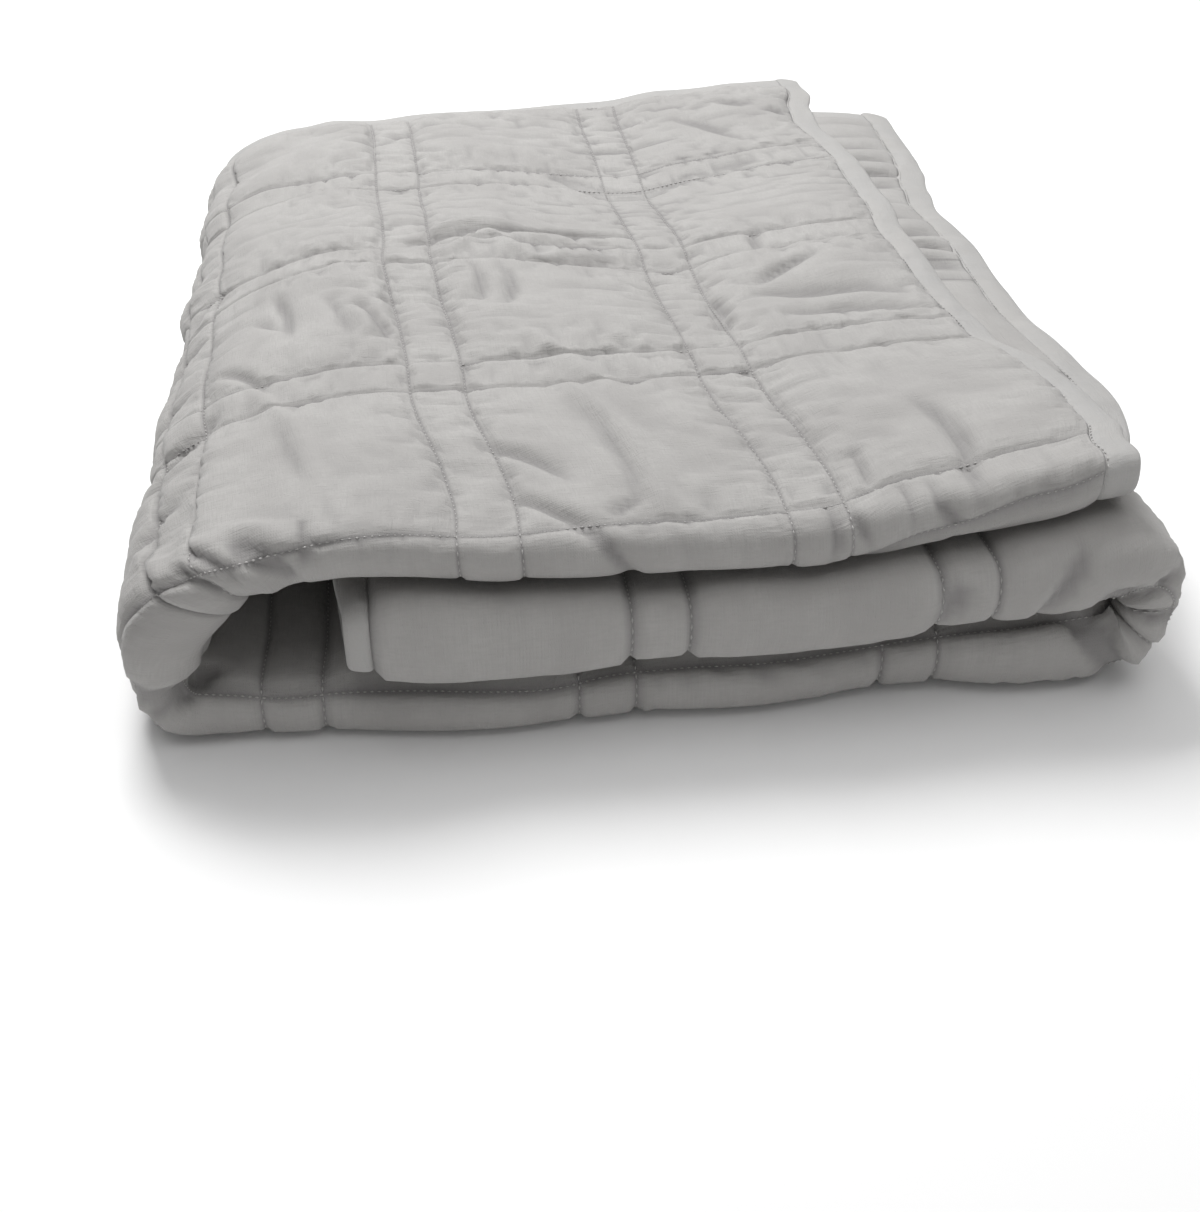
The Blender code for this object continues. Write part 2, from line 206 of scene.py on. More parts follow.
# %% The heights of the stack
LEVEL_AT_X = (-0.14, -0.05, 0.02, 0.14, 0.30)
LOWEST_TOPS = (
    # depth   left    hump    mid-left mid-right right
    (-0.02,  (0.036,  0.036,  0.035,   0.037,    0.046)),
    (0.10,   (0.034,  0.034,  0.035,   0.036,    0.038)),
    (0.60,   (0.028,  0.028,  0.028,   0.028,    0.030)),
)
MIDDLE_TOPS = (
    # depth   left    hump    mid-left mid-right right
    (-0.02,  (0.075,  0.084,  0.076,   0.076,    0.091)),
    (0.10,   (0.069,  0.078,  0.076,   0.074,    0.078)),
    (0.26,   (0.063,  0.072,  0.073,   0.067,    0.073)),
    (0.60,   (0.052,  0.054,  0.057,   0.061,    0.065)),
)
TOP_TOPS = (
    # depth   left    hump    mid-left mid-right right
    (-0.02,  (0.104,  0.115,  0.108,   0.110,    0.128)),
    (0.12,   (0.100,  0.114,  0.113,   0.113,    0.114)),
    (0.26,   (0.093,  0.112,  0.111,   0.100,    0.109)),
    (0.41,   (0.084,  0.097,  0.095,   0.084,    0.094)),
    (0.60,   (0.077,  0.084,  0.087,   0.091,    0.094)),
)
SAG_FROM_X, SAG_WIDEST_X, SAG_TO_X = -0.160, -0.120, -0.060
SAG_AT_HEIGHT = (
    # height  sideways
    (0.034,   0.000),
    (0.046,   0.010),
    (0.073,   0.021),
    (0.090,   0.013),
    (0.106,   0.000),
)
SAG_LESS_BEHIND, SAG_DEPTH = 0.7, 0.20
HEEL_CORNER, HEEL_SIZE, HEEL_X = 0.011, 0.036, -0.116
FLOOR_SINK = 0.0022        # cloth that would lie lower than this is flat on the floor


def settle(x, y, z):
    """Height of a point of the even stack after it settles: a cubic through the floor and
    the tops of the three layers at that place, so that layers never cross."""
    first = read_map(y, x, LEVEL_AT_X, LOWEST_TOPS)
    second = read_map(y, x, LEVEL_AT_X, MIDDLE_TOPS)
    third = read_map(y, x, LEVEL_AT_X, TOP_TOPS)
    level = z / LAYER
    twice = second - 2 * first
    thrice = third - 3 * second + 3 * first
    return (first * level + twice * level * (level - 1) / 2
            + thrice * level * (level - 1) * (level - 2) / 6)


def sag_and_square(x, y, z):
    """Sideways shift of the left side: a sine hump times a table over the height, smaller
    behind, less a square-law push outwards at the lower corner."""
    rise = np.clip((x - SAG_FROM_X) / (SAG_WIDEST_X - SAG_FROM_X), 0, 1)
    fall = np.clip((SAG_TO_X - x) / (SAG_TO_X - SAG_WIDEST_X), 0, 1)
    sag = np.sin(math.pi / 2 * np.minimum(rise, fall)) ** 2 * eased(z, SAG_AT_HEIGHT, 1)
    sag = sag * (1 - SAG_LESS_BEHIND * np.clip(y / SAG_DEPTH, 0, 1))
    low = np.clip(1.0 - z / HEEL_SIZE, 0, 1) ** 2
    corner = np.clip((HEEL_X - x) / HEEL_SIZE, 0, 1) ** 2
    return x + sag - HEEL_CORNER * low * corner


# %% Placing a point of the cloth
def folded(along, across, offset, slide=0.0):
    """Where a point of the flat cloth lies in the folded blanket. The distance across goes
    round a half circle at the front fold and then straight back, the distance along
    follows the pack, with a slide added, and offset stands off from the middle of the
    padding."""
    along, across, offset = np.broadcast_arrays(along, across, offset)
    skew = read_map(across, along, TOP_SKEW_AT, TOP_SKEW)
    x, z, heading = pack_line(path_distance(along) + skew + slide)
    round_fold = TAKE_UP_ACROSS * (across - eased(along, FRONT_FOLD, 2))
    angle = np.clip(round_fold / PLY, -math.pi / 2, math.pi / 2)
    behind = np.maximum(np.abs(round_fold) - QUARTER_NOSE, 0.0)
    y = eased(along, FRONT_FOLD, 1) + behind - (PLY + offset) * np.cos(angle)
    outwards = (PLY + offset) * np.sin(angle)
    x = x + outwards * np.sin(heading)
    z = z - outwards * np.cos(heading)
    on_top = along < FOLD_PATH[0][1]
    bulge = RIGHT_BULGE * np.clip(x - BULGE_FROM_X, 0, None) ** 2
    x = np.where(on_top, x, x + bulge)
    droop = TOP_DROOP * np.clip(x - DROOP_FROM_X, 0, None) ** 2
    z = settle(x, y, z) - np.where(on_top, droop, 0.0)
    x = sag_and_square(x, y, z)
    z = np.maximum(z - FLOOR_SINK, 0.0)
    return np.stack([x - MIDDLE_X, y - MIDDLE_Y, z], axis=-1)


# %% [markdown]
# ## Uneven by hand
#
# Sewn lines are never quite straight, and padded cloth is never smooth. Both come from one
# smooth noise: random heights on a lattice, eased between. It is seeded by a plain number,
# so that every run gives the same cloth. Lines of stitching wander by a millimetre or two.

# %% Smooth noise and wandering seams
def lattice(i, j, seed):
    """A fixed pseudo-random number from -1 to 1 for each lattice point."""
    mixed = np.sin(i * 127.1 + j * 311.7 + seed * 74.7) * 43758.5453
    return 2.0 * (mixed - np.floor(mixed)) - 1.0


def noise(u, v, seed):
    """Smooth noise from -1 to 1: the four lattice values round (u, v), eased together."""
    u, v = np.broadcast_arrays(np.asarray(u, float), np.asarray(v, float))
    i, j = np.floor(u), np.floor(v)
    a, b = u - i, v - j
    a, b = a * a * (3 - 2 * a), b * b * (3 - 2 * b)
    near = lattice(i, j, seed) * (1 - a) + lattice(i + 1, j, seed) * a
    far = lattice(i, j + 1, seed) * (1 - a) + lattice(i + 1, j + 1, seed) * a
    return near * (1 - b) + far * b


WANDER = 0.0016            # how far a sewn line strays, slowly
JITTER = 0.0005            # and quickly
SLOW_LONG, SLOW_SHORT = 0.11, 0.06
QUICK_LONG, QUICK_SHORT = 0.030, 0.025
END_DROOP = 0.0070         # the upper half's free end hangs down onto the lower half
END_DROOP_LENGTH, END_DROOP_CURVE = 0.060, 1.6
END_DROOP_FROM, END_DROOP_WIDTH = 0.020, 0.120
END_REACH = 0.100          # the free end's waves fade out over this length of cloth
END_SHIFT = (
    # across  along
    (-0.60,  -0.012),
    (-0.51,  -0.012),
    (-0.48,  -0.010),
    (-0.44,  -0.002),
    (-0.40,   0.004),
    (-0.34,  -0.001),
    (-0.29,   0.002),
    (-0.24,   0.002),
    (-0.15,  -0.007),
    (-0.10,  -0.007),
    (-0.02,  -0.001),
    (0.000,  -0.005),
    (0.030,  -0.015),
    (0.080,  -0.024),
    (0.100,  -0.022),
    (0.150,  -0.010),
    (0.200,  -0.006),
    (0.280,  -0.006),
    (0.350,  -0.011),
    (0.430,  -0.014),
    (0.460,  -0.012),
    (0.510,  -0.003),
    (0.540,  -0.003),
    (0.570,  -0.009),
    (0.600,  -0.006),
)


def place(along, across, offset):
    """Point of the folded cloth after its sewn lines have wandered. The free end is wavy,
    by a table that fades out over a hand's width, and the upper half's edge hangs down
    onto the lower half by a power of the distance from its edge."""
    near_end = np.clip((END_REACH - along) / (END_REACH - BINDING), 0, 1)
    slide = eased(across, END_SHIFT, 1) * near_end * near_end * (3 - 2 * near_end)
    hanging = np.clip((END_DROOP_LENGTH - along) / END_DROOP_LENGTH, 0, 1)
    behind_fold = np.clip((across - END_DROOP_FROM) / END_DROOP_WIDTH, 0, 1)
    offset = offset - END_DROOP * hanging ** END_DROOP_CURVE * behind_fold
    wander = WANDER * noise(along / SLOW_LONG, across / SLOW_SHORT, 1)
    wander = wander + JITTER * noise(along / QUICK_LONG, across / QUICK_SHORT, 2)
    drift = WANDER * noise(along / SLOW_SHORT, across / SLOW_LONG, 3)
    drift = drift + JITTER * noise(along / QUICK_SHORT, across / QUICK_LONG, 4)
    return folded(along + wander, across + drift, offset, slide)


# %% [markdown]
# ## Full squares
#
# Between its seams the quilt is full of beads and padding, and at each seam it is sewn
# thin. A cushion made by inflating a sheet would lose the sewn lines, so the thickness is
# written as a formula: nothing at the seams, rising steeply and then flat in the middle.

# %% Padding between the seams
SEAM = 0.0030              # half thickness at a seam,
STRIP_PUFF = 0.0056        # in the middle of a strip
SQUARE_PUFF = 0.0092       # and of a square
UNLIKE = 0.14              # share by which squares differ,
UNLIKE_LONG, UNLIKE_WIDE = 0.11, 0.09      # over about these lengths


def within_pitch(place_on_cloth, first_line):
    """Share of the way over a square, and over the narrow strip after it."""
    offset = np.mod(place_on_cloth - first_line, PITCH)
    return np.clip(offset / SQUARE, 0, 1), np.clip((offset - SQUARE) / STRIP, 0, 1)


def fullness(share):
    """0 at both seams and 1 in the middle: one less the fourth power of the distance."""
    return 1.0 - np.abs(2.0 * share - 1.0) ** 4


def padding(along, across):
    """Half thickness: the root of the fullness in both directions, times the puff of the
    square or strip, which differs a little from square to square."""
    square_a, strip_a = within_pitch(along, BINDING)
    square_b, strip_b = within_pitch(across, STRIP / 2)
    in_a, in_b = strip_a <= 0, strip_b <= 0
    full = np.where(in_a, fullness(square_a), fullness(strip_a))
    full = np.sqrt(full * np.where(in_b, fullness(square_b), fullness(strip_b)))
    puff = np.where(in_a & in_b, SQUARE_PUFF, STRIP_PUFF)
    unlike = 1.0 + UNLIKE * noise(along / UNLIKE_LONG, across / UNLIKE_WIDE, 5)
    return SEAM + (puff * unlike - SEAM) * full


# %% [markdown]
# ## Wrinkles
#
# Three kinds of wrinkle make the cloth look heavy and used. Long creases that the eye can
# follow are listed in a table. Short puckers stand square to every seam, and come
# when the cloth settles, further down. A faint general unevenness lies under both. The
# puckers and the unevenness are full where the cloth is in the open and slight where layers
# press on each other.

# %% Creases listed in a table
CREASES = (
    # from          to              bow     width   height
    # soft ridges of the front squares
    ((0.406, 0.156), (0.380, 0.085),  0.004,  0.0060,  0.0022),
    ((0.382, 0.090), (0.384, 0.006),  0.003,  0.0060,  0.0020),
    ((0.392, 0.120), (0.372, 0.020), -0.003,  0.0050, -0.0016),
    ((0.242, 0.140), (0.224, 0.070),  0.003,  0.0060,  0.0022),
    ((0.226, 0.080), (0.226, 0.010),  0.002,  0.0055,  0.0020),
    ((0.236, 0.110), (0.236, 0.030),  0.002,  0.0050, -0.0016),
    # creases that fan out over the front edge
    ((0.292, 0.082), (0.262, 0.046),  0.002,  0.0040, -0.0024),
    ((0.290, 0.040), (0.240, -0.010), 0.002,  0.0040, -0.0034),
    ((0.250, 0.018), (0.236, 0.030),  0.000,  0.0032, -0.0020),
    ((0.080, 0.072), (0.080, -0.006), 0.004,  0.0044, -0.0036),
    ((0.126, 0.046), (0.127, 0.014),  0.001,  0.0034, -0.0020),
    ((0.144, 0.012), (0.132, -0.010), 0.000,  0.0028, -0.0020),
    ((0.113, 0.012), (0.111, -0.008), 0.000,  0.0028, -0.0018),
    ((0.100, 0.010), (0.099, -0.010), 0.000,  0.0028, -0.0018),
    # the pocket by the strip, and the valleys behind
    ((0.139, 0.234), (0.142, 0.186),  0.002,  0.0050, -0.0050),
    ((0.206, 0.458), (0.168, 0.424),  0.002,  0.0080, -0.0048),
    ((0.180, 0.422), (0.130, 0.424),  0.002,  0.0080, -0.0048),
    ((0.140, 0.420), (0.060, 0.446),  0.004,  0.0090, -0.0040),
    ((0.096, 0.528), (0.066, 0.484),  0.002,  0.0050, -0.0024),
    ((0.068, 0.546), (0.052, 0.532),  0.001,  0.0050, -0.0026),
    ((0.038, 0.532), (0.024, 0.512),  0.001,  0.0050, -0.0026),
    # the humped square and the small creases by it
    ((0.284, 0.290), (0.254, 0.322),  0.002,  0.0050,  0.0020),
    ((0.256, 0.322), (0.232, 0.290), -0.002,  0.0050,  0.0020),
    ((0.236, 0.288), (0.180, 0.298),  0.002,  0.0045,  0.0018),
    ((0.250, 0.268), (0.256, 0.222),  0.003,  0.0040, -0.0024),
    ((0.268, 0.276), (0.271, 0.226),  0.003,  0.0036, -0.0022),
    ((0.254, 0.188), (0.206, 0.096),  0.004,  0.0080,  0.0016),
    # the left squares, and the troughs of the right one
    ((0.424, 0.184), (0.398, 0.156),  0.002,  0.0040, -0.0022),
    ((0.358, 0.246), (0.348, 0.190),  0.002,  0.0044, -0.0020),
    ((0.408, 0.240), (0.388, 0.216),  0.001,  0.0040, -0.0020),
    ((0.342, 0.236), (0.334, 0.216),  0.001,  0.0036, -0.0020),
    ((0.118, 0.222), (0.030, 0.196),  0.006,  0.0130, -0.0042),
    ((0.110, 0.190), (0.026, 0.176),  0.003,  0.0100, -0.0036),
    # darts at the left end of the front edge
    ((0.419, 0.022), (0.391, 0.004),  0.001,  0.0036, -0.0060),
    ((0.417, 0.031), (0.388, 0.016),  0.001,  0.0042,  0.0034),
    ((0.430, 0.017), (0.405, 0.001),  0.001,  0.0042,  0.0018),
    # the second row, and single creases
    ((0.300, 0.318), (0.170, 0.330),  0.004,  0.0042, -0.0030),
    ((0.300, 0.327), (0.240, 0.338),  0.004,  0.0050,  0.0020),
    ((0.334, 0.226), (0.326, 0.186),  0.002,  0.0044, -0.0034),
    ((0.343, 0.230), (0.337, 0.190),  0.002,  0.0050,  0.0024),
    ((0.392, 0.262), (0.384, 0.204),  0.003,  0.0042, -0.0030),
    ((0.108, 0.236), (0.070, 0.262),  0.002,  0.0048, -0.0034),
    ((0.098, 0.288), (0.092, 0.316),  0.001,  0.0038, -0.0030),
    # the left side and the back
    ((0.474, 0.110), (0.430, 0.146),  0.002,  0.0040, -0.0018),
    ((0.462, 0.284), (0.440, 0.318),  0.002,  0.0040, -0.0016),
    ((0.176, 0.496), (0.112, 0.500),  0.002,  0.0050, -0.0020),
    ((0.322, 0.504), (0.284, 0.548),  0.003,  0.0050, -0.0020),
    # where the front seam starts, and the heel below it
    ((0.440, 0.024), (0.418, 0.010),  0.001,  0.0035, -0.0036),
    ((0.448, 0.017), (0.440, 0.005),  0.000,  0.0030, -0.0030),
    ((0.386, 0.026), (0.384, 0.006),  0.000,  0.0034, -0.0040),
    ((0.521, 0.011), (0.529, -0.008), 0.000,  0.0040, -0.0085),
    ((0.525, -0.003), (0.568, -0.024), 0.002, 0.0042, -0.0085),
    ((0.538, 0.008), (0.531, -0.008), 0.000,  0.0034, -0.0044),
    # the right fold, and the noses of the layers
    ((1.085, 0.017), (1.097, 0.006),  0.000,  0.0038, -0.0085),
    ((1.095, 0.008), (1.130, 0.018),  0.001,  0.0040, -0.0060),
    ((1.067, -0.004), (1.050, 0.014), 0.001,  0.0040, -0.0070),
    ((0.979, -0.014), (1.016, 0.014), 0.001,  0.0046, -0.0090),
    ((0.990, -0.018), (1.026, 0.008), 0.001,  0.0055,  0.0030),
    ((1.164, 0.024), (1.140, 0.036),  0.001,  0.0045, -0.0032),
    ((1.216, 0.028), (1.198, 0.040),  0.001,  0.0045, -0.0028),
    ((0.148, 0.014), (0.148, -0.010), 0.000,  0.0030, -0.0028),
    ((0.098, -0.003), (0.088, -0.018), 0.000, 0.0030, -0.0024),
    # short diagonals down the left side
    ((0.488, 0.234), (0.446, 0.264),  0.001,  0.0036, -0.0016),
    ((0.490, 0.170), (0.450, 0.192),  0.001,  0.0036, -0.0014),
    ((0.484, 0.106), (0.446, 0.136),  0.001,  0.0036, -0.0016),
    ((0.484, 0.050), (0.450, 0.086),  0.001,  0.0036, -0.0016),
    ((0.476, 0.056), (0.458, 0.006),  0.002,  0.0050,  0.0020),
)
CREASE_DEPTH = 1.6         # the table's heights are those seen, and padding springs back
CREASE_END, CREASE_FADE = 0.03, 0.7    # the sine starts this far in, raised to a power


def crease(along, across, start, end, bow, width, height):
    """One crease: a sharp bell across a bowed line, fading out at its ends. The bell is
    height * exp(-(distance / width)^1.5), and the ends fade by a power of a sine."""
    run = (end[0] - start[0], end[1] - start[1])
    length = math.hypot(*run)
    u = ((along - start[0]) * run[0] + (across - start[1]) * run[1]) / length ** 2
    aside = ((along - start[0]) * run[1] - (across - start[1]) * run[0]) / length
    inside = np.clip(u, 0, 1)
    aside = aside - 4 * bow * inside * (1 - inside)
    beyond = (u - inside) * length
    ends = np.sin(math.pi * (inside * (1 - 2 * CREASE_END) + CREASE_END)) ** CREASE_FADE
    return height * ends * np.exp(-((aside ** 2 + beyond ** 2) / width ** 2) ** 0.75)


# %% Where the cloth is free to rise
IN_THE_OPEN = (
    # along  share
    (0.00,   1.00),
    (0.46,   1.00),
    (0.56,   0.70),
    (0.62,   0.12),
    (0.96,   0.12),
    (1.00,   0.50),
    (1.08,   0.50),
    (1.14,   0.15),
    (1.51,   0.15),
)


def seam_distance(place_on_cloth, first_line):
    """Distance to the nearest sewn line of the pairs that cross this direction."""
    offset = np.mod(place_on_cloth - first_line, PITCH)
    return np.minimum(np.minimum(offset, PITCH - offset), np.abs(offset - SQUARE))


PRESSED_SHARE, PRESSED_FROM, PRESSED_FADE = 0.85, 0.008, 0.016
FRONT_SHARE, FRONT_WIDTH, FRONT_REACH = 0.22, 0.022, 1.6


def in_the_open(along, across):
    """Share of the cloth's freedom to rise: 1 on top of the stack, little between its
    layers and under the upper half, and more round the front fold of every layer."""
    from_fold = across - eased(along, FRONT_FOLD, 2)
    pressed = np.clip((PRESSED_FROM - from_fold) / PRESSED_FADE, 0, 1)
    front = FRONT_SHARE * np.clip(FRONT_REACH - np.abs(from_fold) / FRONT_WIDTH, 0, 1)
    return np.maximum(front, eased(along, IN_THE_OPEN, 1) * (1 - PRESSED_SHARE * pressed))


WAVES = (
    # height  length  shift  width  seed
    (0.0014,  0.052,  0.0,   0.047, 8),
    (0.0009,  0.100,  7.3,   0.026, 9),
)
MORE_BEHIND, BEHIND = 1.2, 0.2     # the back is up to that much rougher, from there on
EDGE_FADE = 0.030


def waves(along, across):
    """Broad unevenness, which lifts cloth and seams together: two smooth noises, less
    where layers press on each other and nothing at the binding."""
    broad = sum(height * noise(along / length + shift, across / width, seed)
                for height, length, shift, width, seed in WAVES)
    behind = 1.0 + MORE_BEHIND * np.clip((across - BEHIND) / BEHIND, 0, 1)
    from_edge = np.minimum(np.minimum(along, LENGTH - along), HALF_WIDTH - np.abs(across))
    edge = np.clip((from_edge - BINDING) / EDGE_FADE, 0, 1)
    return in_the_open(along, across) * behind * edge * broad


# %% [markdown]
# ## The quilt
#
# The cloth is one closed surface: an outer face with all its relief, an inner face that is
# pressed flat against the other half and needs fewer points, and a rim that joins them.
# The points stand closer together at the seams, where the shape turns quickly, and on the
# top of the stack, where it is seen.

# %% Lines to measure the cloth on
SQUARE_CELLS_ALONG = (42, 42, 42, 36, 16, 16, 33, 33, 16, 16)
STRIP_CELLS_ALONG = (9, 9, 9, 6, 6, 6, 6, 6, 6)
SQUARE_CELLS_UPPER, STRIP_CELLS_UPPER = (36, 36, 36, 36), (9, 9, 9)
SQUARE_CELLS_LOWER, STRIP_CELLS_LOWER = (18, 9, 9, 9), (3, 3, 3)
FOLD_CELLS, INNER_FOLD_CELLS = 15, 5
COARSER = 5                # the inner face has every fifth line, but all where it shows:
SHOWN_TO = 0.10            # down to here, and at the back, which the free end bares
INNER_SQUARE_CELLS, INNER_STRIP_CELLS = (6, 9, 30, 36), (3, 3, 9)
CLOSER_AT_SEAMS = 0.30


def spaced(start, width, cells):
    """Lines over one square or strip, closer together at both of its seams."""
    u = np.arange(cells) / cells
    return start + width * (u - CLOSER_AT_SEAMS * np.sin(2 * math.pi * u) / (2 * math.pi))


def run_of_squares(first, square_cells, strip_cells):
    """Lines over squares and the strips between them, with the last seam."""
    marks = []
    for i, cells in enumerate(square_cells):
        marks.append(spaced(first + i * PITCH, SQUARE, cells))
        if i < len(square_cells) - 1:
            marks.append(spaced(first + i * PITCH + SQUARE, STRIP, strip_cells[i]))
    marks.append([first + (len(square_cells) - 1) * PITCH + SQUARE])
    return np.concatenate(marks)


lines_along = run_of_squares(BINDING, SQUARE_CELLS_ALONG, STRIP_CELLS_ALONG)
upper = run_of_squares(STRIP / 2, SQUARE_CELLS_UPPER, STRIP_CELLS_UPPER)
lower = run_of_squares(STRIP / 2, SQUARE_CELLS_LOWER, STRIP_CELLS_LOWER)
over_fold = np.linspace(-STRIP / 2, STRIP / 2, FOLD_CELLS + 1)[1:-1]
lines_across = np.concatenate([-lower[::-1], over_fold, upper])
shown = np.searchsorted(lines_along, SHOWN_TO)
inner_along = np.concatenate([lines_along[:shown], lines_along[shown::COARSER]])
inner_along = np.union1d(inner_along, lines_along[-1:])
inner_lower = run_of_squares(STRIP / 2, INNER_SQUARE_CELLS, INNER_STRIP_CELLS)
inner_fold = np.linspace(-STRIP / 2, STRIP / 2, INNER_FOLD_CELLS + 1)[1:-1]
inner_across = np.concatenate([-inner_lower[::-1], inner_fold, upper[::COARSER]])
print("outer face:", len(lines_along), "by", len(lines_across), "lines, inner face:",
      len(inner_along), "by", len(inner_across))


# %% [markdown]
# ## Letting the cloth settle
#
# Stitching draws quilted cloth in, so there is more cloth than room for it, and it buckles:
# short puckers stand square to each seam and grow longer and fewer away from it. Noise
# never looks like that, and a cloth modifier is slow for so many points. A small solver
# does it: every thread between two points of the grid is a little too long, and is pushed
# to its length again and again, while the seams hold still, the filling pulls the cloth
# back, and its stiffness keeps the folds from being too sharp.

# %% How much too long the threads are
GATHER = 0.105             # extra length beside a seam, along the seam
GATHER_REACH = 0.015
SLACK_ALONG, SLACK_ACROSS = 0.003, 0.007
PATCHY = 0.058             # more in patches that differ from square to square,
PATCHY_DOWN = 0.3          # but only a share of it down the cloth
PATCH_LONG, PATCH_WIDE = 0.075, 0.055
STIFFNESS = 0.012
FILLING_PULL = 0.002
LOWEST = 0.0008            # no crease goes deeper than this stand-off
ROUNDS = 260
EVEN_FROM, EVEN = 0.72, 0.9        # from here down the cloth it is evenly crumpled
START_RISE = 0.0010        # small bumps that the buckling starts from,
START_SHORT = 0.012        # of this length both ways, with broader ones under them
START_SHARE, START_LONG, START_WIDE = 0.6, 0.03, 0.02
ON_SEAM = 1e-6             # points this close to a sewn line are held by it
CRUMPLED_AT = (0.0, 0.15, 0.30, 0.45, 0.60)
CRUMPLED = (
    # across   end   first  second shoulder below
    (0.00,   (0.5,   0.5,   0.5,   0.40,  0.30)),
    (0.15,   (0.6,   0.7,   0.8,   0.40,  0.25)),
    (0.30,   (0.8,   1.0,   1.0,   0.40,  0.25)),
    (0.45,   (1.3,   1.5,   1.1,   0.35,  0.20)),
    (0.60,   (1.5,   1.4,   0.8,   0.30,  0.20)),
)


def slack(along, across):
    """Share of extra length of the threads down the cloth and over it."""
    beside_a = np.exp(-seam_distance(along, BINDING) / GATHER_REACH)
    beside_b = np.exp(-seam_distance(across, STRIP / 2) / GATHER_REACH)
    patch = (0.5 + 0.5 * noise(along / PATCH_LONG, across / PATCH_WIDE, 21)) ** 2
    crumpled = read_map(across, along, CRUMPLED_AT, CRUMPLED)
    crumpled = np.where(along > EVEN_FROM, EVEN, crumpled)
    amount = in_the_open(along, across) * crumpled
    down = SLACK_ALONG + GATHER * beside_b + PATCHY_DOWN * PATCHY * patch
    over = SLACK_ACROSS + GATHER * beside_a + PATCHY * patch
    return amount * down, amount * over


# %% Threads in four directions
THREADS = (
    # down  over  strength
    (1,     0,    0.8),
    (0,     1,    0.8),
    (1,     1,    0.3),
    (1,    -1,    0.3),
)


def thread_ends(rows, columns, down, over):
    """Slices of the grid for both ends of every second thread in one direction, then of
    the others, so that no point is moved by two threads at once."""
    beside = {0: (slice(None), slice(None)), 1: (slice(None, -1), slice(1, None)),
              -1: (slice(1, None), slice(None, -1))}
    for odd in (0, 1):
        count = ((rows if down else columns) - odd) // 2
        first = slice(odd, odd + 2 * count, 2)
        second = slice(odd + 1, odd + 2 * count + 1, 2)
        if down:
            yield (first, beside[over][0]), (second, beside[over][1])
        else:
            yield (slice(None), first), (slice(None), second)


def settle_cloth(along, across):
    """Places of the cloth's points as along, across and stand-off after they settle. Each
    thread moves its two ends apart or together by its share of (length - wanted), and
    between rounds each point moves a little towards the middle of its neighbours."""
    half = padding(along, across)
    sewn = np.minimum(seam_distance(along, BINDING),
                      seam_distance(across, STRIP / 2)) < ON_SEAM
    sewn[[0, -1]] = True
    sewn[:, [0, -1]] = True
    marks = CREASE_DEPTH * sum(crease(along, across, *row) for row in CREASES)
    rest = np.stack([along, across, half + np.where(sewn, 0.0, marks)], -1)
    rest[..., 2] = np.maximum(rest[..., 2], LOWEST)
    free = np.where(sewn, 0.0, 1.0)[..., None]
    down_slack, over_slack = slack(along, across)
    threads = []
    for down, over, strength in THREADS:
        share = {(1, 0): down_slack, (0, 1): over_slack}.get(
            (down, over), (down_slack + over_slack) / 2)
        for first, second in thread_ends(*along.shape, down, over):
            wanted = np.linalg.norm(rest[second] - rest[first], axis=-1)
            wanted = wanted * (1 + (share[first] + share[second]) / 2)
            held = strength / np.maximum(free[first] + free[second], 1)[..., 0]
            threads.append((first, second, wanted, held))
    cloth = rest.copy()
    start = noise(along / START_SHORT, across / START_SHORT, 31)
    start = start + START_SHARE * noise(along / START_LONG, across / START_WIDE, 32)
    cloth[..., 2] += START_RISE * start * free[..., 0] * in_the_open(along, across)
    for _ in range(ROUNDS):
        moved = cloth - rest
        smooth = np.zeros_like(moved)
        smooth[1:-1, 1:-1] = (moved[2:, 1:-1] + moved[:-2, 1:-1] + moved[1:-1, 2:]
                              + moved[1:-1, :-2]) / 4 - moved[1:-1, 1:-1]
        cloth += free * STIFFNESS * smooth
        cloth[..., 2] -= free[..., 0] * FILLING_PULL * moved[..., 2]
        for first, second, wanted, held in threads:
            apart = cloth[second] - cloth[first]
            length = np.sqrt((apart * apart).sum(-1))
            push = apart * (held * (1 - wanted / length))[..., None]
            cloth[first] += push * free[first]
            cloth[second] -= push * free[second]
    cloth[..., 2] = np.maximum(cloth[..., 2], LOWEST)
    print(f"settled: stand-off {cloth[..., 2].min():.4f} to {cloth[..., 2].max():.4f} m,"
          f" sideways up to {np.abs((cloth - rest)[..., :2]).max():.4f} m")
    return cloth


# %% Making meshes from arrays
def quads(numbers):
    """Corner numbers of every cell of a grid of point numbers."""
    return np.stack([numbers[:-1, :-1], numbers[:-1, 1:], numbers[1:, 1:],
                     numbers[1:, :-1]], -1).reshape(-1, 4)


def rim_loop(numbers):
    """Point numbers once round the edge of a grid."""
    return np.concatenate([numbers[0, :], numbers[1:, -1], numbers[-1, -2::-1],
                           numbers[-2:0:-1, 0]])


def way_round(along, across):
    """How far round the edge each point of the rim is: 0 to 1 on the first side, and so on
    to 4. It ends with a 4 for the way back to the first point."""
    share_a = (along - along[0, 0]) / (along[-1, 0] - along[0, 0])
    share_b = (across - across[0, 0]) / (across[0, -1] - across[0, 0])
    return np.concatenate([share_b[0, :], 1 + share_a[1:, -1], 3 - share_b[-1, -2::-1],
                           4 - share_a[-2:0:-1, 0], [4.0]])


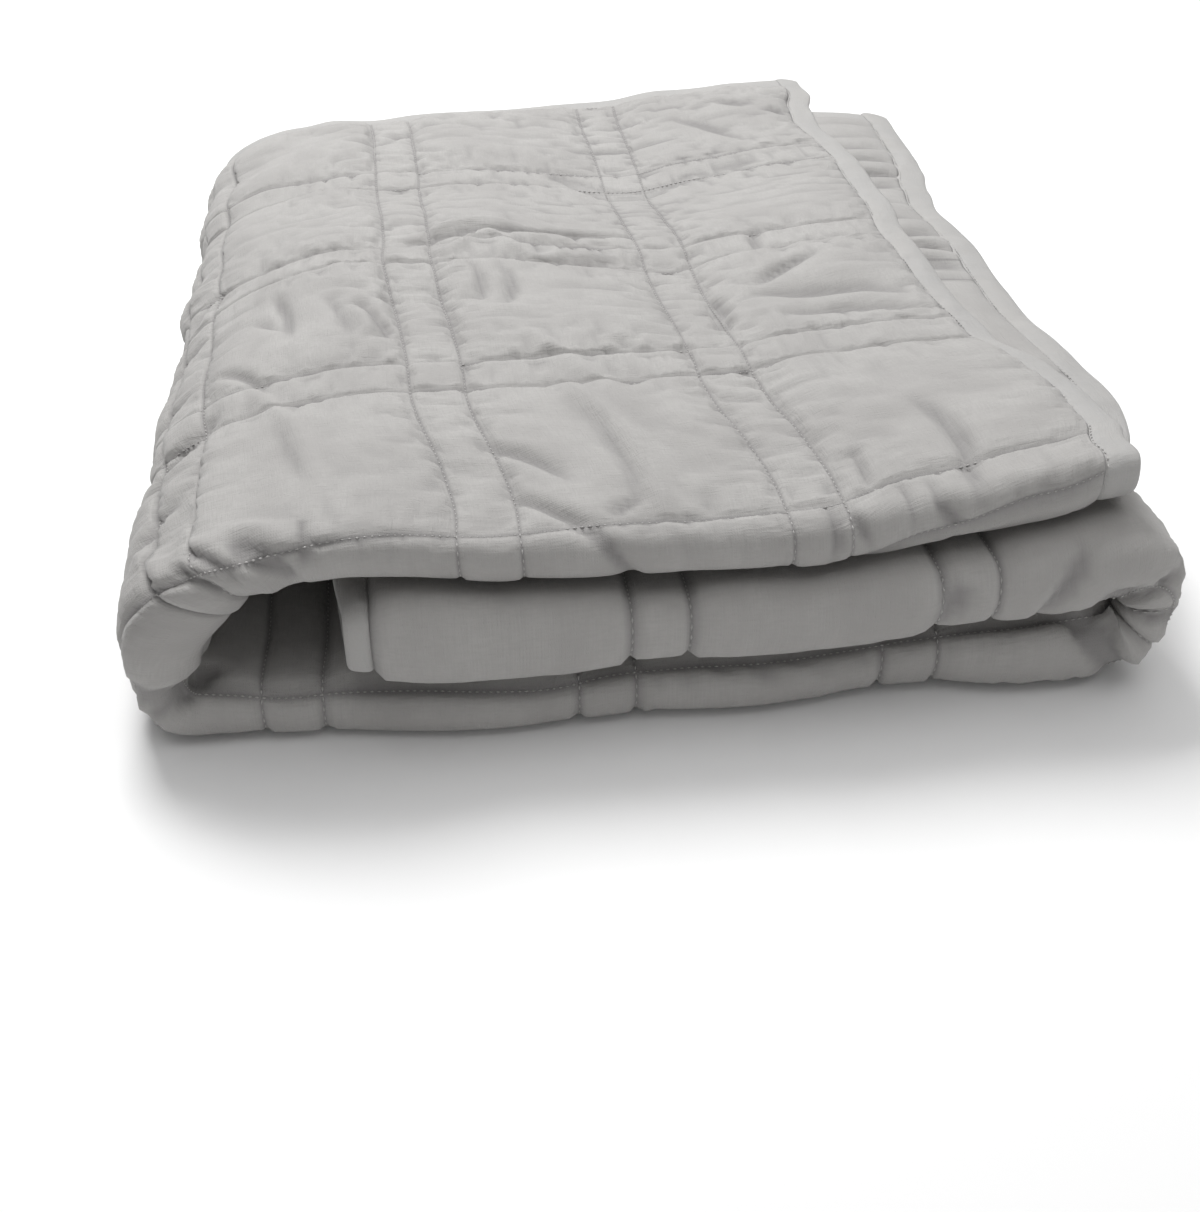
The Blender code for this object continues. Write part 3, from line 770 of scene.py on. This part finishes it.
def zip_rims(first, first_way, second, second_way):
    """Triangles between two closed rows of points: they are joined like a zip, and every
    step along one row is a triangle with the point that the other row has reached."""
    to_first, to_second = first_way[1:], second_way[1:]
    reached = np.searchsorted(to_second, to_first, side="left")
    upper = np.stack([np.roll(first, -1), first, second[reached % len(second)]], 1)
    reached = np.searchsorted(to_first, to_second, side="right")
    lower = np.stack([first[reached % len(first)], second, np.roll(second, -1)], 1)
    return upper, lower


def mesh_piece(name, points, faces, cloth, flat=None, valley=None):
    """A new object at the origin from points and faces, with the flat cloth's own
    measures, along and across, as its UV map, and how deep in a valley each point is, which
    the material turns into painted shade."""
    mesh = bpy.data.meshes.new(name)
    mesh.from_pydata(points.tolist(), [], [f for part in faces for f in part.tolist()])
    if flat is not None:
        corners = np.empty(len(mesh.loops), dtype=np.int32)
        mesh.loops.foreach_get("vertex_index", corners)
        layer = mesh.uv_layers.new(name="cloth")
        layer.uv.foreach_set("vector", flat[corners].astype(np.float32).ravel())
    if valley is not None:
        mesh.attributes.new("valley", "FLOAT", "POINT").data.foreach_set(
            "value", valley.astype(np.float32))
    mesh.materials.append(cloth)
    mesh.shade_smooth()
    mesh.update()
    piece = bpy.data.objects.new(name, mesh)
    bpy.context.scene.collection.objects.link(piece)
    print(name, len(mesh.vertices), "points,", sum(len(p.vertices) - 2 for p in mesh.polygons),
          "triangles")
    return piece


# %% [markdown]
# ## Cotton
#
# The cloth is a fine, matt, closely woven cotton. Its thread is too thin to model, so the
# weave is a bump made from the cloth's own measures, and it follows every fold. The same
# measures tell the material where the seams are: close to them the cloth is gathered in
# fine ribs, and a painted shade darkens it beside each sewn line. Each point of the mesh
# also carries how deep in a valley it lies, and hollows get a painted shade by that, so that
# wrinkles read in soft light.

# %% A small kit for shader nodes
class Nodes:
    """Short ways to add and join shader nodes: each call returns the new output."""

    def __init__(self, material):
        material.use_nodes = True
        self.tree = material.node_tree
        self.shader = self.tree.nodes["Principled BSDF"]
        measures = self.tree.nodes.new("ShaderNodeUVMap")
        measures.uv_map = "cloth"
        split = self.tree.nodes.new("ShaderNodeSeparateXYZ")
        self.tree.links.new(measures.outputs[0], split.inputs[0])
        self.along, self.across = split.outputs[0], split.outputs[1]

    def put(self, socket, value):
        if isinstance(value, (int, float, tuple)):
            socket.default_value = value
        else:
            self.tree.links.new(value, socket)

    def maths(self, operation, *values):
        node = self.tree.nodes.new("ShaderNodeMath")
        node.operation = operation
        for socket, value in zip(node.inputs, values):
            self.put(socket, value)
        return node.outputs[0]

    def texture(self, per_along, per_across, detail, roughness):
        join = self.tree.nodes.new("ShaderNodeCombineXYZ")
        self.put(join.inputs[0], self.maths("MULTIPLY", self.along, per_along))
        self.put(join.inputs[1], self.maths("MULTIPLY", self.across, per_across))
        node = self.tree.nodes.new("ShaderNodeTexNoise")
        node.noise_dimensions = "2D"
        self.put(node.inputs["Vector"], join.outputs[0])
        node.inputs["Scale"].default_value = 1.0
        node.inputs["Detail"].default_value = detail
        node.inputs["Roughness"].default_value = roughness
        return node.outputs["Fac"]

    def ramp(self, value, low, high, to_low, to_high):
        node = self.tree.nodes.new("ShaderNodeMapRange")
        node.interpolation_type = "SMOOTHSTEP"
        for socket, number in zip(node.inputs, (value, low, high, to_low, to_high)):
            self.put(socket, number)
        return node.outputs[0]

    def mix(self, share, first, second):
        node = self.tree.nodes.new("ShaderNodeMix")
        node.data_type = "RGBA"
        self.put(node.inputs["Factor"], share)
        self.put(node.inputs["A"], first)
        self.put(node.inputs["B"], second)
        return node.outputs["Result"]

    def bump(self, height, distance, strength, before=None):
        node = self.tree.nodes.new("ShaderNodeBump")
        node.inputs["Strength"].default_value = strength
        node.inputs["Distance"].default_value = distance
        self.put(node.inputs["Height"], height)
        if before is not None:
            self.put(node.inputs["Normal"], before)
        return node.outputs[0]


# %% The cotton material
CLOTH_COLOUR = (0.424, 0.415, 0.404, 1.0)
CLOTH_SHADE = (0.376, 0.366, 0.357, 1.0)
# painted shade: the dark colour that the quilt's sewn lines and hollows are mixed towards
PAINTED_SHADE_COLOUR = (0.235, 0.228, 0.226, 1.0)
BINDING_COLOUR = (0.405, 0.400, 0.394, 1.0)
THREAD_COLOUR = (0.460, 0.450, 0.440, 1.0)
THREAD_ROUGHNESS = 0.7
WEAVE = 0.00055            # one thread of the weave
GRAIN = {
    # name     along   across  detail roughness, the first two per metre of cloth
    "cloud":   (22.0,   22.0,   4.0,  0.60),
    "down":    (110.0,  1300.0, 2.0,  0.60),
    "over":    (1300.0, 110.0,  2.0,  0.60),
    "crumple": (70.0,   70.0,   3.0,  0.55),
    "ribs a":  (60.0,   250.0,  3.0,  0.60),
    "ribs b":  (250.0,  60.0,   3.0,  0.60),
}
RELIEF = {
    # name     height   strength
    "weave":   (0.00008, 0.35),
    "slub":    (0.0005,  0.50),
    "crumple": (0.0012,  0.50),
    "ribs":    (0.0016,  0.35),
}
SHADING = {
    # name     low   high    first last: the share changes smoothly from first to last
    "cloud":   (0.3, 0.7,    0.0,  1.0),
    "slub":    (0.8, 1.25,   0.0,  0.6),
    "ribs":    (0.0, 0.011,  1.0,  0.0),
    # painted shade beside each sewn line, strongest at the line
    "painted_groove_shade":  (0.0, 0.0016, 0.65, 0.0),
}
# share of painted shade at the bottom of a valley
VALLEY_SHADE = 0.75
FINISH = {"Roughness": 0.90, "Specular IOR Level": 0.25,
          "Sheen Weight": 0.12, "Sheen Roughness": 0.5}


def nearest_seam(kit, measure, first_line):
    """The same distance to the nearest sewn line as the mesh uses, in nodes."""
    offset = kit.maths("FLOORED_MODULO", kit.maths("SUBTRACT", measure, first_line), PITCH)
    back = kit.maths("SUBTRACT", PITCH, offset)
    pair = kit.maths("ABSOLUTE", kit.maths("SUBTRACT", offset, SQUARE))
    return kit.maths("MINIMUM", kit.maths("MINIMUM", offset, back), pair)


def cotton(name, colour, shade, seams):
    """Matt woven cotton: soft cloudy colour, a plain weave in bump, and, where the piece has
    seams, fine gathers and painted shade beside each sewn line and in the hollows of the mesh."""
    material = bpy.data.materials.new(name)
    kit = Nodes(material)
    cloud = kit.texture(*GRAIN["cloud"])
    tone = kit.mix(kit.ramp(cloud, *SHADING["cloud"]), colour, shade)
    warp, weft = (kit.maths("SINE", kit.maths("MULTIPLY", measure, math.pi / WEAVE))
                  for measure in (kit.along, kit.across))
    normal = kit.bump(kit.maths("MULTIPLY", warp, weft), *RELIEF["weave"])
    slub = kit.maths("ADD", kit.texture(*GRAIN["down"]), kit.texture(*GRAIN["over"]))
    normal = kit.bump(slub, *RELIEF["slub"], normal)
    tone = kit.mix(kit.ramp(slub, *SHADING["slub"]), tone, shade)
    normal = kit.bump(kit.texture(*GRAIN["crumple"]), *RELIEF["crumple"], normal)
    if seams:
        to_a = nearest_seam(kit, kit.along, BINDING)
        to_b = nearest_seam(kit, kit.across, STRIP / 2)
        ribs_a, ribs_b = (
            kit.maths("MULTIPLY", kit.maths("SUBTRACT", kit.texture(*GRAIN[grain]), 0.5),
                      kit.ramp(distance, *SHADING["ribs"]))
            for grain, distance in (("ribs a", to_a), ("ribs b", to_b)))
        normal = kit.bump(kit.maths("ADD", ribs_a, ribs_b), *RELIEF["ribs"], normal)
        # painted shade in the hollows, by how deep each point lies in a valley
        valley = kit.tree.nodes.new("ShaderNodeAttribute")
        valley.attribute_name = "valley"
        painted_valley_shade = kit.maths("MULTIPLY", valley.outputs["Fac"], VALLEY_SHADE)
        tone = kit.mix(painted_valley_shade, tone, PAINTED_SHADE_COLOUR)
        # painted shade beside each sewn line
        painted_groove_shade = kit.ramp(kit.maths("MINIMUM", to_a, to_b), *SHADING["painted_groove_shade"])
        tone = kit.mix(painted_groove_shade, tone, PAINTED_SHADE_COLOUR)
    kit.put(kit.shader.inputs["Base Color"], tone)
    kit.put(kit.shader.inputs["Normal"], normal)
    for setting, value in FINISH.items():
        kit.shader.inputs[setting].default_value = value
    return material


quilt_cotton = cotton("quilt_cotton", CLOTH_COLOUR, CLOTH_SHADE, seams=True)
binding_cotton = cotton("binding_cotton", BINDING_COLOUR, CLOTH_COLOUR, seams=False)
thread = bpy.data.materials.new("sewing_thread")
thread.use_nodes = True
thread_shader = thread.node_tree.nodes["Principled BSDF"]
thread_shader.inputs["Base Color"].default_value = THREAD_COLOUR
thread_shader.inputs["Roughness"].default_value = THREAD_ROUGHNESS
print("materials:", [m.name for m in (quilt_cotton, binding_cotton, thread)])


# %% The quilt's surface
# the depth below the cloth round it that gets the full painted shade in the hollows
VALLEY_ROUNDS, VALLEY_DEPTH = 12, 0.0024
BARE_TO, BARE_FADE, BARE_FROM = 0.075, 0.030, 0.050     # inner face that the end bares,
BARE_RISE = 0.0040                                      # which swells up into the open
NEAR_MIDDLE = 0.0004       # the two halves stay this far from the middle between them
TUCKS = (
    # across  ends at           bow     width   height
    (-0.560,  (0.062, -0.556),  0.002, 0.0034, -0.0020),
    (-0.536,  (0.070, -0.530), -0.002, 0.0040, -0.0024),
    (-0.512,  (0.078, -0.506), -0.002, 0.0042, -0.0040),
    (-0.486,  (0.074, -0.482),  0.001, 0.0038, -0.0066),
    (-0.462,  (0.080, -0.454),  0.003, 0.0042, -0.0090),
    (-0.440,  (0.072, -0.446), -0.002, 0.0040, -0.0064),
    (-0.402,  (0.066, -0.396),  0.002, 0.0038, -0.0022),
    (-0.374,  (0.074, -0.366),  0.002, 0.0042, -0.0028),
    (-0.350,  (0.080, -0.344), -0.003, 0.0042, -0.0072),
    (-0.326,  (0.076, -0.330),  0.002, 0.0040, -0.0090),
    (-0.302,  (0.070, -0.297),  0.001, 0.0038, -0.0070),
    (-0.262,  (0.064, -0.270),  0.002, 0.0036, -0.0022),
    (-0.225,  (0.062, -0.219),  0.001, 0.0036, -0.0028),
    (-0.180,  (0.060, -0.186),  0.001, 0.0036, -0.0018),
    (-0.110,  (0.054, -0.116),  0.001, 0.0034, -0.0018),
)


def tucks(along, across):
    """Dips of the inner face where the free end shows it, square to the bound edge."""
    return sum(crease(along, across, (BINDING, start), *row) for start, *row in TUCKS)


def valleys(rise):
    """0 to 1 for each point by how far it lies below the average of the cloth round it,
    which is found by taking the mean of the four neighbours again and again. The material
    darkens the hollows by it, as painted shade."""
    level = np.pad(rise, 1, mode="edge")
    for _ in range(VALLEY_ROUNDS):
        level[1:-1, 1:-1] = (level[2:, 1:-1] + level[:-2, 1:-1] + level[1:-1, 2:]
                             + level[1:-1, :-2]) / 4
    return np.clip((level[1:-1, 1:-1] - rise) / VALLEY_DEPTH, 0, 1)


def quilt_cloth():
    """Outer face as it settled, inner face pressed flat against the other half, and a zip
    of triangles round the rim."""
    down, over = np.meshgrid(lines_along, lines_across, indexing="ij")
    settled = settle_cloth(down, over)
    rise = settled[..., 2] + waves(down, over)
    outer = place(settled[..., 0], settled[..., 1], rise)
    inner_down, inner_over = np.meshgrid(inner_along, inner_across, indexing="ij")
    half = padding(inner_down, inner_over)
    bare = np.clip((BARE_TO - inner_down) / BARE_FADE, 0, 1)
    bare = bare * np.clip((-BARE_FROM - inner_over) / BARE_FADE, 0, 1)
    half = np.minimum(half, PLY - NEAR_MIDDLE + BARE_RISE * bare)
    half = np.maximum(half + tucks(inner_down, inner_over), LOWEST)
    inner = place(inner_down, inner_over, -half)
    top = np.arange(down.size).reshape(down.shape)
    bottom = top.size + np.arange(inner_down.size).reshape(inner_down.shape)
    points = np.concatenate([outer.reshape(-1, 3), inner.reshape(-1, 3)])
    flat = np.concatenate([np.stack([down, over], -1).reshape(-1, 2),
                           np.stack([inner_down, inner_over], -1).reshape(-1, 2)])
    zipped = zip_rims(rim_loop(top), way_round(down, over),
                      rim_loop(bottom), way_round(inner_down, inner_over))
    # how deep each point lies, for the painted shade in the hollows
    valley = np.concatenate([valleys(settled[..., 2]).ravel(), valleys(half).ravel()])
    return mesh_piece("quilt_cloth", points, [quads(top), quads(bottom)[:, ::-1], *zipped],
                      quilt_cotton, flat, valley)


quilt = quilt_cloth()

# %% [markdown]
# ## The binding
#
# A flat strip of the same cotton is folded over the raw edge and sewn down. It is made as
# a closed section carried round the edge: two nearly flat sides, thin where it is sewn
# down and at its outer edge. It ripples a little along its length.

# %% The section of the binding and the four strips
SECTION = (
    # from seam  half thickness
    (-0.0012,    0.0014),
    (0.0000,     0.0021),
    (0.0014,     0.0025),
    (0.0040,     0.0028),
    (0.0075,     0.0029),
    (0.0110,     0.0028),
    (0.0145,     0.0025),
    (0.0172,     0.0020),
    (0.0192,     0.0013),
    (0.0202,     0.0005),
)
RIPPLES = (
    # height  down    from seam  seed
    (0.0011,  0.0055, 0.020,     11),      # puckers, close to the seam
    (0.0010,  0.017,  0.012,     12),      # ripples
    (0.0016,  0.035,  0.050,     13),      # leaning over
)
PUCKER_REACH, RIPPLE_SPREAD = 0.007, 0.6
STRIP_POINTS_ACROSS, STRIP_POINTS_ALONG = 560, 640
INNER_NARROW, INNER_NARROW_AT, INNER_NARROW_REACH = 0.38, 0.035, 0.050


def strip_cloth(run, edge_at):
    """A closed tube: the section goes out along one side and back along the other. run is
    the distances down the strip, and edge_at turns a distance from the seam and a distance
    down the strip into along and across. Ripples open and close the section, and fade at
    both of its edges. Leaning bends both sides the same way."""
    from_seam = np.array([row[0] for row in SECTION])
    thick = np.array([row[1] for row in SECTION])
    from_seam = np.concatenate([from_seam, from_seam[::-1]])
    side = np.concatenate([thick, -thick[::-1]])
    down, seam = np.meshgrid(run, from_seam, indexing="ij")
    rise = np.broadcast_to(side, down.shape)
    along, across = edge_at(seam, down)
    out = np.clip(seam / BINDING, 0, 1)
    pucker, ripple, lean = (height * noise(down / long, seam / wide, seed)
                            for height, long, wide, seed in RIPPLES)
    ripple = pucker * np.exp(-seam / PUCKER_REACH) + ripple
    lean = lean * out
    ripple = np.sin(math.pi * out) ** RIPPLE_SPREAD * ripple * np.sign(rise)
    points = place(along, across, rise + ripple + lean)
    numbers = np.arange(down.size).reshape(down.shape)
    ring = np.concatenate([numbers, numbers[:, :1]], axis=1)
    faces = [quads(ring), numbers[:1, ::-1], numbers[-1:, :]]
    flat = np.stack([along, across], -1).reshape(-1, 2)
    return points.reshape(-1, 3), faces, flat


def add_strip(name, run, edge_at, turned):
    """One strip; "turned" is for a strip whose faces would otherwise look inwards."""
    points, faces, flat = strip_cloth(run, edge_at)
    if turned:
        faces = [part[:, ::-1] for part in faces]
    return mesh_piece(name, points, faces, binding_cotton, flat)


def inner_edge(seam, down):
    """The inner end's strip is creased back where it goes round the front fold, so it is
    narrower there, by a bell over the distance from that place."""
    narrow = INNER_NARROW * np.exp(-((down - INNER_NARROW_AT) / INNER_NARROW_REACH) ** 2)
    return LENGTH - BINDING + seam * (1 - narrow), down


across_run = np.linspace(-HALF_WIDTH, HALF_WIDTH, STRIP_POINTS_ACROSS)
along_run = np.linspace(BINDING, LENGTH - BINDING, STRIP_POINTS_ALONG)
top_end = add_strip("top_end_strip", across_run,
                    lambda seam, down: (BINDING - seam, down), True)
inner_end = add_strip("inner_end_strip", across_run, inner_edge, False)
upper_side = add_strip("upper_side_strip", along_run,
                       lambda seam, down: (down, HALF_WIDTH - BINDING + seam), True)
lower_side = add_strip("lower_side_strip", along_run,
                       lambda seam, down: (down, -HALF_WIDTH + BINDING - seam), False)

# %% [markdown]
# ## Thread
#
# Every seam is a row of small stitches, each pulled down at both ends. One stitch is a
# long thin bead of eight faces, and all of them are one joined mesh, placed by the same
# rule as the cloth. Modelling each stitch as a curve would look no better and would be
# slow, because there are some fourteen thousand.

# %% Rows of stitches
STITCH = 0.0033            # from one stitch to the next
THREAD_LENGTH = 0.0025
THREAD_WIDTH = 0.00045
THREAD_RISE = 0.00050
THREAD_DIP, THREAD_LIFT = 0.0001, 0.00012      # its ends below the cloth, its middle above
NORMAL_STEP = 0.001        # the cloth's normal is measured over this much stand-off
LIP_STITCH = 0.0014        # the binding is sewn down this far from the quilt's edge


def stitch_rows():
    """Flat places and directions of every stitch: (along, across, direction, half
    thickness of the cloth there)."""
    down = np.arange(BINDING + STITCH / 2, LENGTH - BINDING, STITCH)
    over = np.arange(-HALF_WIDTH + BINDING + STITCH / 2, HALF_WIDTH - BINDING, STITCH)
    rows = []

    def sew_over(line, reach, thick):
        rows.append((np.full_like(reach, line), reach, (0.0, 1.0), thick))

    def sew_down(line, thick):
        for side in (line, -line):
            rows.append((down, np.full_like(down, side), (1.0, 0.0), thick))

    for i in range(SQUARES_LONG - 1):
        for line in (BINDING + i * PITCH + SQUARE, BINDING + (i + 1) * PITCH):
            sew_over(line, over, SEAM)
    for i in range(SQUARES_HALF):
        for line in (STRIP / 2 + i * PITCH, STRIP / 2 + i * PITCH + SQUARE):
            if line < HALF_WIDTH - BINDING - STITCH:
                sew_down(line, SEAM)
    lip = SECTION[2][1]
    sew_over(BINDING - LIP_STITCH, over, lip)
    sew_over(BINDING - LIP_STITCH, over[over < 0], -lip)
    sew_over(LENGTH - BINDING + LIP_STITCH, over, lip)
    sew_down(HALF_WIDTH - BINDING + LIP_STITCH, lip)
    return rows


def stitches():
    """One bead for each stitch: two ends on the cloth and four points round its middle,
    out along the cloth's normal and to the side."""
    rows = stitch_rows()
    along = np.concatenate([row[0] for row in rows])
    across = np.concatenate([row[1] for row in rows])
    step = np.concatenate([np.tile(row[2], (len(row[0]), 1)) for row in rows])
    thick = np.concatenate([np.full(len(row[0]), row[3]) for row in rows])
    face = np.sign(thick)
    thick = thick + np.where(face > 0, waves(along, across), 0.0)
    half = step * THREAD_LENGTH / 2
    start = place(along - half[:, 0], across - half[:, 1], thick - THREAD_DIP * face)
    end = place(along + half[:, 0], across + half[:, 1], thick - THREAD_DIP * face)
    middle = place(along, across, thick + THREAD_LIFT * face)
    above = place(along, across, thick + NORMAL_STEP * face) - middle
    above = above / np.linalg.norm(above, axis=1, keepdims=True)
    beside = np.cross(end - start, above)
    beside = beside / np.linalg.norm(beside, axis=1, keepdims=True)
    ring = [middle + above * THREAD_RISE, middle + beside * THREAD_WIDTH,
            middle - above * THREAD_RISE, middle - beside * THREAD_WIDTH]
    points = np.stack([start, end, *ring], 1).reshape(-1, 3)
    shape = np.array([(0, 2 + k, 2 + (k + 1) % 4) for k in range(4)]
                     + [(1, 2 + (k + 1) % 4, 2 + k) for k in range(4)])
    faces = (6 * np.arange(len(along))[:, None, None] + shape[None]).reshape(-1, 3)
    return mesh_piece("stitching", points, [faces], thread)


stitching = stitches()

# %% [markdown]
# ## Light, floor and camera
#
# The blanket is lit as if it lay on a white table in soft daylight. A window behind and to
# the left shapes the folds, a broad ceiling and a pale sky fill them, and a white wall
# behind the camera lights the front. The camera looks down at about 39 degrees from just
# left of the middle, where the stitched grid says that it stood.

# %% Floor and light
FLOOR_REACH, FLOOR_WHITE, FLOOR_ROUGHNESS = 6.0, 0.90, 0.9
SKY_STRENGTH = 0.20
floor_mesh = bpy.data.meshes.new("floor")
corners = [(x * FLOOR_REACH, y * FLOOR_REACH, 0.0) for x, y in ((-1, -1), (1, -1), (1, 1), (-1, 1))]
floor_mesh.from_pydata(corners, [], [(0, 1, 2, 3)])
floor = bpy.data.objects.new("floor", floor_mesh)
bpy.context.scene.collection.objects.link(floor)
floor_paint = bpy.data.materials.new("floor_paint")
floor_paint.use_nodes = True
floor_shader = floor_paint.node_tree.nodes["Principled BSDF"]
floor_shader.inputs["Base Color"].default_value = (FLOOR_WHITE, FLOOR_WHITE, FLOOR_WHITE, 1.0)
floor_shader.inputs["Roughness"].default_value = FLOOR_ROUGHNESS
floor_mesh.materials.append(floor_paint)

sky = bpy.data.worlds.new("soft_daylight")
sky.use_nodes = True
sky_light = sky.node_tree.nodes["Background"]
sky_light.inputs["Color"].default_value = (1.0, 1.0, 1.0, 1.0)
sky_light.inputs["Strength"].default_value = SKY_STRENGTH
bpy.context.scene.world = sky


def soft_light(name, place_at, aim_at, size, power):
    """A square area light that looks from its place to a point."""
    lamp = bpy.data.lights.new(name, "AREA")
    lamp.size = size
    lamp.energy = power
    body = bpy.data.objects.new(name, lamp)
    bpy.context.scene.collection.objects.link(body)
    direction = Vector(aim_at) - Vector(place_at)
    body.rotation_mode = "QUATERNION"
    body.location = place_at
    body.rotation_quaternion = direction.to_track_quat("-Z", "Y")
    return body


soft_light("window", (-0.42, 0.95, 1.75), (0.0, 0.0, 0.0), 0.80, 38.0)
soft_light("ceiling", (0.30, 0.10, 2.4), (0.0, 0.0, 0.0), 3.0, 36.0)
soft_light("white_wall", (0.8, -2.4, 0.12), (0.0, 0.0, 0.05), 2.0, 10.0)
bpy.context.scene.view_settings.view_transform = "Standard"

# %% Camera
PITCH_DOWN, YAW, ROLL = (math.radians(angle) for angle in (38.85, 7.72, 0.84))
PHOTO_HEIGHT, FOCAL_LENGTH = 1212, 1450    # both in pixels of the photo
SENSOR = 36.0
CAMERA_AT = (-0.0083 - MIDDLE_X, -0.5053 - MIDDLE_Y, 0.4689)
forward = np.array([math.sin(YAW) * math.cos(PITCH_DOWN),
                    math.cos(YAW) * math.cos(PITCH_DOWN), -math.sin(PITCH_DOWN)])
level_right = np.array([math.cos(YAW), -math.sin(YAW), 0.0])
level_up = np.cross(level_right, forward)
right = math.cos(ROLL) * level_right + math.sin(ROLL) * level_up
up = math.cos(ROLL) * level_up - math.sin(ROLL) * level_right
view = bpy.data.cameras.new("camera")
view.sensor_width = SENSOR
view.lens = FOCAL_LENGTH / PHOTO_HEIGHT * SENSOR
camera = bpy.data.objects.new("camera", view)
bpy.context.scene.collection.objects.link(camera)
camera.rotation_mode = "QUATERNION"
camera.location = CAMERA_AT
camera.rotation_quaternion = Matrix(np.stack([right, up, -forward], 1).tolist()).to_quaternion()
bpy.context.scene.camera = camera

# %% [markdown]
# ## What each piece stands for
#
# The last step ties the cloth to the imported solids: the solids that the cloth replaces are
# hidden, and every piece hangs from one empty.

# %% Tie the pieces to the solids
strips = {"binding_top_end": top_end, "binding_inner_end": inner_end,
          "binding_upper_side": upper_side, "binding_lower_side": lower_side}
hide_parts("quilt")
for node, strip in strips.items():
    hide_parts(node)
for piece in (quilt, stitching, *strips.values()):
    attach(piece, "root")
